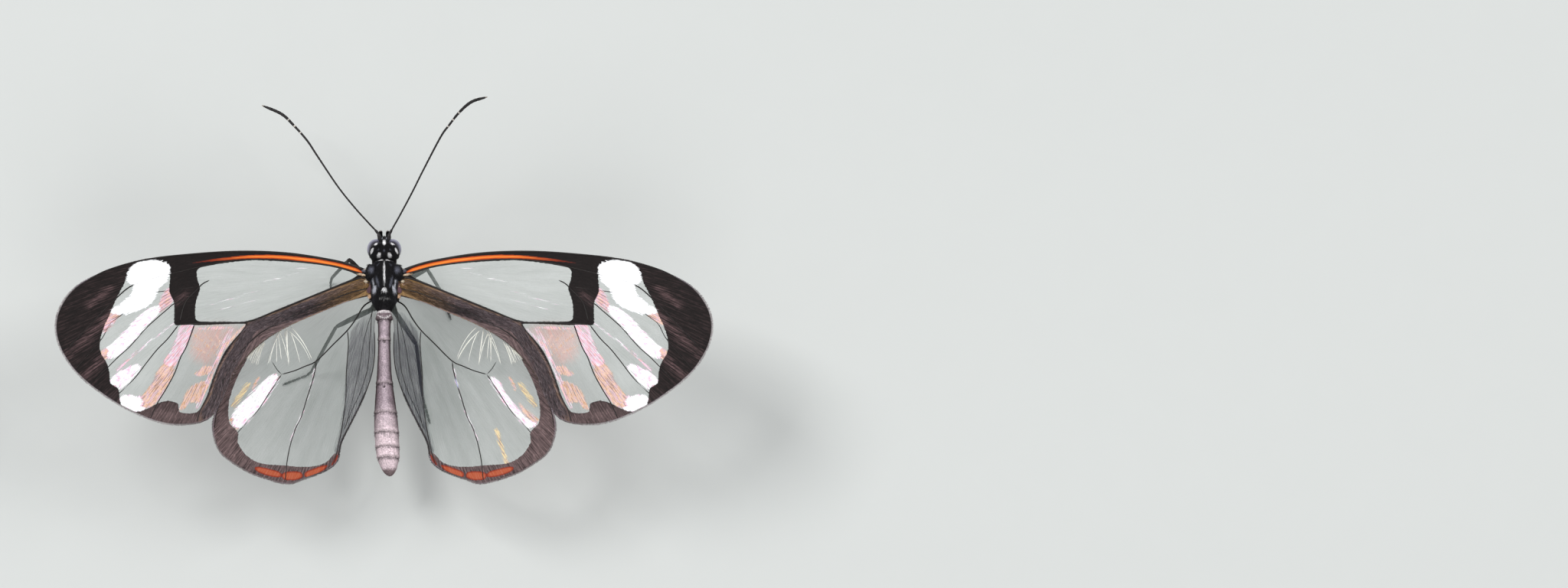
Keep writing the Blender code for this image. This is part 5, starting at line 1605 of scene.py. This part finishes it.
def buildLegCoat(name, limbs, small):
    # fine scales all round the limbs, longer ones on the small forelegs, and two rows of spines on each shin
    rows = []
    for k, (a, b, start, middle, end, bend) in enumerate(limbs):
        path = limbPath(a, b, bend)
        count = int(np.linalg.norm(b - a) * math.tau * middle * 1.25 * legForm["scalesPerMm2"])
        radii = np.maximum(limbRadii(9, start, middle, end) * 1.2, 0.06)
        roots, out, along, bake = roundRoots(path, np.linspace(0, 1, 9), radii, count)
        lengths = rng.uniform(0.14, 0.24, count) * (1.6 if small else 1.0)
        bake[:, 1] = (k + bake[:, 1]) / len(limbs)
        rows.append((
            roots, out, along + rng.normal(0, 0.12, (count, 3)), lengths, np.full(count, 0.042),
            np.clip(rng.normal(0.12, 0.06, count), 0.02, 0.5),
            np.tile(legForm["scaleColour"], (count, 1)), bake))
        if k == 2 and not small:
            count = legForm["spines"]
            at = np.linspace(0.12, 0.96, count)
            along = np.tile(unit(b - a), (count, 1))
            for turn in (-1, 1):
                out = unit(np.cross(along, (0, 0, 1.0)) * turn - (0, 0, 0.4))
                bake = np.stack((np.full(count, 0.5 + 0.2 * turn), (k + at) / len(limbs)), axis=1)
                rows.append((
                    alongLine(path, at) + out * start, out, along, np.full(count, 0.34),
                    np.full(count, 0.034), np.full(count, 0.55),
                    np.tile(legForm["spineColour"], (count, 1)), bake))
    growCoat(name + "Coat", [np.concatenate(column) for column in zip(*rows)], "bodyHair", "limb", 0.2)


def addFoot(bm, ankle, heel, toe):
    # five short joints and two claws
    thick = legForm["tarsus"]
    addLimb(bm, ankle, heel, legForm["tibia"] * 0.85, thick, thick)
    shares = [(k / legForm["joints"]) ** 0.8 for k in range(legForm["joints"] + 1)]
    for share0, share1 in zip(shares, shares[1:]):
        ends = heel + (toe - heel) * share0, heel + (toe - heel) * share1
        addLimb(bm, *ends, thick * 0.75, thick, thick * 0.8)
    ahead = unit(toe - heel)
    aside = np.cross(ahead, (0, 0, 1))
    for turn in (-1, 1):
        claw = smoothLine([toe, toe + ahead * 0.12 + aside * 0.06 * turn,
                           toe + ahead * 0.22 + aside * 0.10 * turn - (0, 0, 0.06)], 0.03)
        addTube(bm, claw, np.interp(np.linspace(0, 1, len(claw)), (0, 0.1, 1), (0, 0.035, 0)), 6)


def buildLeg(kind, side, word):
    name = kind + word
    small = kind == "foreLeg"
    bm = bmesh.new()
    if small:
        points = onSide(legs[kind], side)
        limbs = [(a, b, r, r * 1.1, r * 0.8, 0.0) for a, b, r in zip(points, points[1:], legForm[kind])]
    else:
        coxa, hip, knee, ankle, heel, toe = np.array(legs[name], float)
        femur, tibia = legForm["femur"], legForm["tibia"]
        limbs = [
            (coxa, hip, legForm["coxa"], legForm["coxa"], femur, 0.0),
            (hip, knee, femur, femur * 1.1, tibia * 1.15, 0.12),
            (knee, ankle, tibia * 1.1, tibia, tibia * 0.9, 0.10)]
    for limb in limbs:
        addLimb(bm, *limb)
    buildLegCoat(name, limbs, small)
    if not small:
        addFoot(bm, ankle, heel, toe)
    # the feet stand on the floor
    for vert in bm.verts:
        vert.co.z = max(vert.co.z, 0.000004)
    addPainted(bm, name, lambda places: mottled(legForm["colour"], places, 0.35, 1.6, 8),
               "limbScales", "limb", kind.lower() + "_" + word.lower())


def main():
    setStage()
    print("stage set")
    makeFinishes()
    print("materials made")
    for side, word in sides:
        for build in (buildWing, buildVeins, buildFringe):
            for wing in (foreWing, hindWing):
                build(wing, side, word)
        buildBandHairs(side, word)
        buildPencils(side, word)
        print("wings", word)
    buildSkin()
    buildBodyCoats()
    print("body")
    for side, word in sides:
        for build in (buildEye, buildTegula, buildHinge, buildFeeler, buildPalp):
            build(side, word)
    buildTongue()
    for kind in ("midLeg", "hindLeg", "foreLeg"):
        for side, word in reversed(sides):
            buildLeg(kind, side, word)
    print("limbs")


main()
